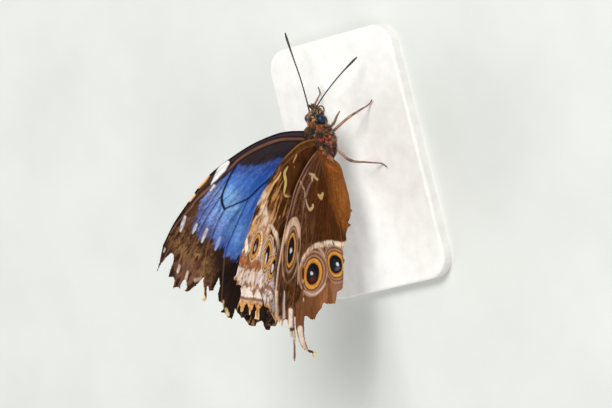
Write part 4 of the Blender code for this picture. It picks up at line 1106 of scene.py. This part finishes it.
def tube(points, radii, sides=16, per_span=12, ripple=None):
    """Vertices, faces and stations of a round tube through the points, closed at both ends."""
    stations = smooth_route([(*point, radius) for point, radius in zip(points, radii)], per_span)
    if ripple is not None:
        stations[:, 3] *= ripple(np.linspace(0, 1, len(stations)))
    way = unit(np.gradient(stations[:, :3], axis=0))
    side = np.array((0.3, 0.1, 1.0))
    verts = []
    turn = np.linspace(0, math.tau, sides, endpoint=False)
    for station, ahead in zip(stations, way):
        side = side - ahead * (side @ ahead)
        side /= np.linalg.norm(side)
        other = np.cross(ahead, side)
        verts.append(station[:3] + station[3] * (np.outer(np.cos(turn), side)
                                                 + np.outer(np.sin(turn), other)))
    verts = np.vstack(verts + [stations[0, :3], stations[-1, :3]])
    return verts, tube_faces(len(stations), sides), stations


def mirrored(points, side):
    return [(side * right, tail, up) for right, tail, up in points]


def tufts(name, roots, normals, lies, lengths, widths, colours, uv, material, lift):
    """Many tapered hairs as one mesh: each is a three-sided blade that bends over along its lie."""
    count = len(roots)
    lean = unit(lies - normals * (lies * normals).sum(1)[:, None], 1e-9)
    lifted = unit(lean + normals * np.broadcast_to(lift, count)[:, None])
    first = unit(lifted + normals * 0.6)
    side = unit(np.cross(lifted, normals), 1e-9)
    up = np.cross(side, first)
    long = lengths[:, None]
    wide = widths[:, None]
    start = roots - normals * HAIR_DEPTH
    middle = start + first * long * 0.5
    tip = middle + lifted * long * 0.55
    rings = []
    for centre, scale in ((start, 1.0), (middle, 0.72)):
        for k in range(3):
            angle = math.tau * k / 3
            rings.append(centre + (side * math.cos(angle) + up * math.sin(angle)) * wide * scale)
    verts = np.stack(rings + [tip], 1).reshape(-1, 3)
    base = np.arange(count)[:, None] * 7
    pattern = []
    for a, b in ((0, 1), (1, 2), (2, 0)):
        pattern += [(a, b, b + 3), (a, b + 3, a + 3), (a + 3, b + 3, 6)]
    pattern.append((0, 2, 1))
    faces = (base[:, :, None] + np.array(pattern)[None]).reshape(-1, 3)
    mesh = new_mesh(name, place(verts), faces)
    shade = np.repeat(colours, 7, axis=0).reshape(count, 7, 3)
    # Painted shade darkens each hair's root ring and a painted highlight lightens its tip
    shade[:, :3] *= ROOT_PAINTED_SHADE
    shade[:, 6] *= TIP_PAINTED_HIGHLIGHT
    set_colours(mesh, "paint", np.clip(shade.reshape(-1, 3), 0, 1))
    patch = np.array([(0, 0), (1, 0), (0.5, 1), (0.1, 0.5), (0.9, 0.5), (0.5, 0.9), (0.5, 0.5)]) * 0.003
    set_uv(mesh, (uv[:, None, :] + patch[None]).reshape(-1, 2))
    add_piece(name, mesh, material, [])


def body_section(tail):
    """Half width, half height and middle height of the body at stations along it."""
    route = smooth_route(BODY_STATIONS, 6)
    return [np.interp(tail, route[:, 0], route[:, axis]) for axis in (1, 2, 3)]


def abdomen_rings(tail):
    """Swelling of the abdomen between its ring grooves."""
    x = (tail - 5.1) / (24.3 - 5.1)
    groove = np.abs(np.sin(math.pi * 8 * np.clip(x, 0, 1)))
    return np.where(x > 0.0, 0.94 + 0.06 * groove ** 0.5, 1.0)


def body_points(tail, turn):
    wide, high, middle = body_section(tail)
    swell = abdomen_rings(tail)
    return np.stack([wide * swell * np.sin(turn), tail, middle + high * swell * np.cos(turn)], 1)


def body_normals(tail, turn):
    step = 0.02
    here = body_points(tail, turn)
    along = body_points(tail + step, turn) - here
    across = body_points(tail, turn + step) - here
    normal = unit(np.cross(across, along), 1e-12)
    outward = here - np.stack([0 * tail, tail, body_section(tail)[2]], 1)
    flip = np.sign((normal * outward).sum(1))
    return normal * np.where(flip == 0, 1, flip)[:, None]


# Coloured tufts of the body's hair: middle, reach and colour, the same on both sides
BODY_SPOTS = [
    ((2.8, 0.5, 0.5), 0.62, (240, 108, 70)), ((2.9, 1.3, -0.1), 0.7, (214, 126, 104)),
    ((2.3, -0.35, 1.5), 0.42, (226, 84, 48)), ((0.9, -0.5, 2.7), 0.4, (214, 84, 38)),
    ((1.7, -0.15, 2.35), 0.42, (224, 80, 40)), ((2.5, 3.1, 0.9), 0.5, (148, 54, 34)),
    ((2.0, 4.5, 1.0), 0.6, (240, 120, 84)), ((1.7, 1.8, 2.3), 0.55, (212, 158, 80)),
    ((0.9, 3.4, 2.4), 0.6, (224, 174, 76)), ((1.5, 3.3, 2.1), 0.4, (206, 112, 52)),
    ((2.0, 5.3, 0.1), 0.8, (222, 176, 106)), ((2.0, -0.75, 1.75), 0.26, (226, 222, 216)),
    ((1.8, -3.8, 0.8), 0.6, (206, 140, 88)), ((1.45, -2.7, 0.9), 0.42, (204, 92, 26)),
    ((0.8, -2.4, 1.5), 0.5, (168, 118, 68)), ((2.2, -3.2, 0.0), 0.5, (176, 134, 88)),
    ((0.6, -4.9, 1.9), 0.5, (176, 104, 50)), ((0.3, -3.9, 1.6), 0.45, (120, 78, 46)),
    ((2.7, -1.4, -0.8), 0.4, (210, 190, 168)), ((2.3, 0.3, -1.9), 0.6, (176, 120, 84)),
]
HEAD_TINTS = ((18, 13, 12), (60, 38, 24), (166, 108, 56), (220, 170, 108))
THORAX_TINTS = ((16, 13, 15), (60, 38, 24), (124, 78, 42), (176, 120, 64))


def body_colour(points, draw):
    """One colour for each tuft, by where it grows."""
    count = len(points)
    head = points[:, 1] < HEAD_END
    share = draw.random(count)
    picks = np.where(head, np.digitize(share, (0.36, 0.56, 0.8)), np.digitize(share, (0.42, 0.7, 0.9)))
    tints = np.array([[linear(c) for c in THORAX_TINTS], [linear(c) for c in HEAD_TINTS]])
    colours = tints[head.astype(int), picks]
    mixed = draw.random(count) < SPOT_SHARE
    for middle, reach, colour in BODY_SPOTS:
        for side in (1, -1):
            # Measured across the line of sight, so that a spot lies where it is seen
            sight = np.array((side * math.cos(VIEW_UP), 0.0, math.sin(VIEW_UP)))
            away = points - np.array((middle[0] * side, middle[1], middle[2]))
            away = away - (away @ sight)[:, None] * sight
            near = (np.linalg.norm(away, axis=1) < reach) & mixed & (points[:, 0] * side > -0.3)
            colours = np.where(near[:, None], linear(colour), colours)
    return colours


def build_body():
    tails = np.concatenate([np.linspace(-7.25, 5.0, 90), np.linspace(5.1, 24.3, 150)])
    sides = 72
    turns = np.linspace(0, math.tau, sides, endpoint=False)
    grid_tail = np.repeat(tails, sides)
    grid_turn = np.tile(turns, len(tails))
    verts = body_points(grid_tail, grid_turn)
    verts = np.vstack([verts, [(0, tails[0] - 0.05, -0.1)], [(0, tails[-1] + 0.08, 0.1)]])
    skin = skin_material("body_skin", ((38, 25, 20), (70, 45, 30)), 900.0, 0.6)
    mesh = new_mesh("body_skin", place(verts), tube_faces(len(tails), sides)[:, ::-1])
    add_piece("body_skin", mesh, skin, ["head", "thorax", "abdomen"])


def clear_of_eyes(points):
    gaps = [np.linalg.norm(points - np.array(middle), axis=1) for middle in EYES_AT.values()]
    return np.minimum(*gaps) > EYE_RADIUS + EYE_CLEARANCE


def build_hair():
    """Thorax and head: loose hair in tufts. Abdomen: short scales that lie flat."""
    draw = np.random.default_rng(5)
    coat = coat_material("body_coat")
    for name, span, count, clumps, size, lift, pull, slot in (
            ("head_coat", (-7.1, -3.0), 8000, 280, (0.7, 1.4), 0.7, 1.6, "body_hair"),
            ("thorax_coat", (-3.3, 5.2), 15000, 520, (0.7, 1.6), 0.6, 1.4, "body_hair"),
            ("abdomen_coat", (4.9, 24.2), 12000, 2600, (0.45, 0.8), 0.16, 0.2, "abdomen_skin")):
        tail = draw.uniform(span[0], span[1], count)
        turn = draw.uniform(0, math.tau, count)
        keep = clear_of_eyes(body_points(tail, turn))
        tail = tail[keep]
        turn = turn[keep]
        roots = body_points(tail, turn)
        normals = body_normals(tail, turn)
        heart_tail = draw.uniform(span[0], span[1], clumps)
        hearts = body_points(heart_tail, draw.uniform(0, math.tau, clumps))
        nearest = np.argmin(((roots[:, None] - hearts[None]) ** 2).sum(2), axis=1)
        shades = body_colour(hearts, draw)[nearest]
        own = body_colour(roots, draw)
        kept = len(roots)
        shades = np.where((draw.random(kept) < OWN_SHARE)[:, None], own, shades)
        way = np.where(roots[:, 1] < -5.6, -1.0, 0.8)
        lies = np.stack([0 * way, way, 0 * way], 1) + (hearts[nearest] - roots) * pull
        lies = lies + draw.normal(0, 0.2, (kept, 3))
        lies = lies + draw.normal(0, 0.35, (clumps, 3))[nearest]
        neck = 0.5 * np.exp(-((roots[:, 1] + 3.5) / 0.7) ** 2)
        lengths = draw.uniform(size[0], size[1], kept) * draw.uniform(0.7, 1.15, clumps)[nearest] + neck
        widths = draw.uniform(0.04, 0.075, kept)
        colours = np.clip(shades * draw.uniform(0.7, 1.35, (kept, 1)), 0, 1)
        uv = np.stack([turn / math.tau, (tail - span[0]) / (span[1] - span[0])], 1) * 0.95 + 0.01
        lifts = draw.uniform(0.6, 1.4, kept) * lift + neck
        tufts(name, roots, normals, lies, lengths, widths, colours, uv, coat, lifts)


def build_shoulders():
    """A lobe of hair over the root of each wing."""
    draw = np.random.default_rng(6)
    skin = skin_material("shoulder_skin", ((24, 18, 16), (52, 36, 28)), 1200.0, 0.6)
    coat = coat_material("shoulder_coat")
    for name, side, start, points, radii, count in (
            ("shoulder_left", -1, LEFT_FORE_TAIL, SHOULDER, SHOULDER_RADII, 2600),
            ("shoulder_right", 1, RIGHT_FORE_TAIL, SHOULDER, SHOULDER_RADII, 2600),
            ("wing_joint_left", -1, LEFT_FORE_TAIL + 1.4, WING_JOINT, WING_JOINT_RADII, 1500),
            ("wing_joint_right", 1, RIGHT_FORE_TAIL, WING_JOINT, WING_JOINT_RADII, 1500)):
        route = [(side * right, tail + start, up) for right, tail, up in points]
        verts, faces, stations = tube(route, radii, 20, 8)
        add_piece(name, new_mesh(name, place(verts), faces[:, ::-1]), skin, [])
        limb_hair(name + "_coat", stations, count, (0.5, 1.1), 0.45, draw, coat, None)


def build_eyes():
    for name, side, colours in (("eye_left", -1, ((24, 16, 46), (78, 52, 120))),
                                ("eye_right", 1, ((3, 10, 20), (12, 56, 92)))):
        made = Nodes(name + "_facets")
        facet = made.cells(11000.0)
        made.two_tone(facet, (0.0, 0.7), colours, (1.0, 0.0))
        made.roughness(made.noise(2500.0), (0.3, 0.7), (0.3, 0.42))
        made.shader.inputs["Specular IOR Level"].default_value = 0.3
        made.bump(facet, 0.5, 0.00004)
        rings = 40
        sides = 64
        polar = np.linspace(0, math.pi, rings)[1:-1]
        turns = np.linspace(0, math.tau, sides, endpoint=False)
        verts = [(math.cos(p), math.sin(p) * math.cos(q), math.sin(p) * math.sin(q))
                 for p in polar for q in turns]
        verts += [(1, 0, 0), (-1, 0, 0)]
        verts = np.array(verts) * EYE_RADIUS * np.array((1.0, 0.98, 1.0))
        verts = verts + np.array(EYES_AT[side])
        mesh = new_mesh(name + "_ball", place(verts), tube_faces(len(polar), sides))
        add_piece(name + "_ball", mesh, made.material, [name])


def build_feelers():
    skin = skin_material("antenna_rings", ((24, 19, 18), (58, 44, 36)), 1500.0, 0.45)

    def ripple(x):
        return 1.0 + 0.07 * np.sin(x * math.tau * 42)

    for name, points in (("antenna_left", LEFT_ANTENNA), ("antenna_right", RIGHT_ANTENNA)):
        verts, faces, _ = tube(points, ANTENNA_RADII, 12, 60, ripple)
        add_piece(name + "_ringed", new_mesh(name, place(verts), faces[:, ::-1]), skin, [name])


def build_mouth():
    palp_skin = skin_material("palp_skin", ((84, 50, 30), (150, 104, 70)), 1200.0, 0.6)
    draw = np.random.default_rng(8)
    coat = coat_material("palp_coat")
    for name, side in (("palp_left", -1), ("palp_right", 1)):
        verts, faces, stations = tube(mirrored(PALP, side), PALP_RADII, 20, 10)
        add_piece(name + "_skin", new_mesh(name, place(verts), faces[:, ::-1]), palp_skin,
                  [name])
        limb_hair(name + "_coat", stations, 700, (0.3, 0.55), 0.35, draw, coat,
                  ((120, 78, 46), (176, 128, 88), (70, 44, 30)))
    turns = []
    count = 40
    for k in range(count + 1):
        angle = math.tau * COIL_TURNS * k / count
        radius = COIL_RADIUS - (COIL_RADIUS - COIL_INNER) * k / count
        turns.append((0.0, COIL_AT[1] + radius * math.cos(angle + COIL_START),
                      COIL_AT[2] + radius * math.sin(angle + COIL_START)))
    verts, faces, _ = tube(turns, [COIL_WIRE] * len(turns), 14, 4)
    tongue = skin_material("proboscis_skin", ((66, 40, 24), (112, 70, 40)), 1600.0, 0.35)
    add_piece("proboscis_coil", new_mesh("proboscis", place(verts), faces[:, ::-1]), tongue,
              ["proboscis"])


def limb_hair(name, stations, count, size, lift, draw, material, colours):
    """Short hair all round a tube, lying towards its far end. Without colours it takes the body's."""
    pick = draw.integers(1, len(stations) - 2, count)
    blend = draw.random(count)[:, None]
    middle = stations[pick, :3] * (1 - blend) + stations[pick + 1, :3] * blend
    radius = stations[pick, 3] * (1 - blend[:, 0]) + stations[pick + 1, 3] * blend[:, 0]
    way = unit(stations[pick + 1, :3] - stations[pick, :3])
    spin = draw.normal(0, 1, (count, 3))
    normal = unit(spin - way * (spin * way).sum(1)[:, None])
    roots = middle + normal * radius[:, None]
    along = (pick + blend[:, 0]) / len(stations)
    if colours is None:
        tints = body_colour(roots, draw) * draw.uniform(0.7, 1.3, (count, 1))
    else:
        tints = np.array([linear(colour) for colour in colours])[draw.integers(0, len(colours), count)]
        tints *= 1 - 0.65 * ramp(along, 0.45, 0.7)[:, None]
    around = np.arctan2(normal[:, 0], normal[:, 2]) / math.tau + 0.5
    uv = np.stack([around * 0.95, along * 0.95 + 0.01], 1)
    tufts(name, roots, normal, way, draw.uniform(*size, count), draw.uniform(0.02, 0.04, count), tints, uv,
          material, lift)


def build_legs():
    draw = np.random.default_rng(9)
    skin = skin_material("leg_skin", ((88, 56, 42), (172, 130, 106)), 500.0, 0.5)
    coat = coat_material("leg_coat")
    legs = [("midleg_left", LEFT_MIDLEG, LEG_RADII), ("midleg_right", RIGHT_MIDLEG, LEG_RADII),
            ("hindleg_left", LEFT_HINDLEG, LEG_RADII), ("hindleg_right", RIGHT_HINDLEG, LEG_RADII)]
    for name, side in (("foreleg_left", -1), ("foreleg_right", 1)):
        legs.append((name, mirrored(FORELEG, side), FORELEG_RADII))

    def joints(x):
        knee = 1 + 0.18 * np.exp(-((x - 0.27) / 0.02) ** 2) + 0.15 * np.exp(-((x - 0.76) / 0.015) ** 2)
        return knee * (1 - 0.12 * (x > 0.78) * np.abs(np.sin(x * 60)))

    for name, points, radii in legs:
        verts, faces, stations = tube(points, radii, 16, 24, joints)
        add_piece(name + "_skin", new_mesh(name, place(verts), faces[:, ::-1]), skin, [name])
        limb_hair(name + "_coat", stations, 900, (0.18, 0.36), 0.3, draw, coat,
                  ((124, 84, 60), (200, 158, 130), (76, 50, 38)))


def dress_base():
    made = Nodes("base_matte")
    made.two_tone(made.noise(260.0, 5.0), (0.3, 0.7), ((222, 220, 214), (234, 232, 227)))
    made.roughness(made.noise(900.0), (0.3, 0.7), (0.45, 0.6))
    made.bump(made.noise(4000.0), 0.15, 0.00004)
    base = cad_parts["stand_base"]
    base.data.materials.clear()
    base.data.materials.append(made.material)


def build_stage():
    corners = [(-3, -3, 0), (3, -3, 0), (3, 3, 0), (-3, 3, 0)]
    floor = add_object("floor", new_mesh("floor", corners, np.array([(0, 1, 2, 3)]), False))
    made = Nodes("floor_pale")
    made.two_tone(made.noise(30.0), (0.3, 0.7), ((206, 209, 203), (214, 216, 211)))
    made.shader.inputs["Roughness"].default_value = 0.8
    floor.data.materials.append(made.material)
    world = bpy.data.worlds.new("soft_room")
    world.use_nodes = True
    world.node_tree.nodes["Background"].inputs["Color"].default_value = (0.98, 0.98, 1.0, 1.0)
    world.node_tree.nodes["Background"].inputs["Strength"].default_value = 0.34
    bpy.context.scene.world = world
    target = Vector(place(VIEW_MIDDLE)[0])
    for name, spot, size, power in (("key", (-0.35, -0.55, 0.75), 0.45, 9.0),
                                    ("fill", (-0.7, 0.45, 0.5), 0.6, 3.2),
                                    ("rim", (0.6, 0.2, 0.5), 0.5, 2.2)):
        light = bpy.data.lights.new(name, "AREA")
        light.size = size
        light.energy = power
        lamp = add_object(name, light)
        lamp.location = spot
        lamp.rotation_euler = (target - lamp.location).to_track_quat("-Z", "Y").to_euler()


def build_camera():
    to_camera = Vector((-math.cos(VIEW_UP), 0.0, math.sin(VIEW_UP)))
    sideways = Vector((math.sin(VIEW_UP), 0.0, math.cos(VIEW_UP)))
    tail = Vector((0.0, 1.0, 0.0))
    right = tail * math.sin(VIEW_TILT) - sideways * math.cos(VIEW_TILT)
    up = -tail * math.cos(VIEW_TILT) - sideways * math.sin(VIEW_TILT)
    lens = bpy.data.cameras.new("view")
    lens.sensor_width = SENSOR
    lens.lens = SENSOR * VIEW_DISTANCE / VIEW_WIDTH
    lens.clip_start = 0.01
    camera = add_object("view", lens)
    spot = Vector(place(VIEW_MIDDLE)[0]) + to_camera * VIEW_DISTANCE
    camera.matrix_world = Matrix.Translation(spot) @ Matrix((right, up, to_camera)).transposed().to_4x4()
    bpy.context.scene.camera = camera
    bpy.context.scene.view_settings.view_transform = "Standard"


build_camera()
build_stage()
dress_base()
build_body()
build_hair()
build_shoulders()
build_eyes()
build_feelers()
build_mouth()
build_legs()
build_wings()
bpy.context.view_layer.update()
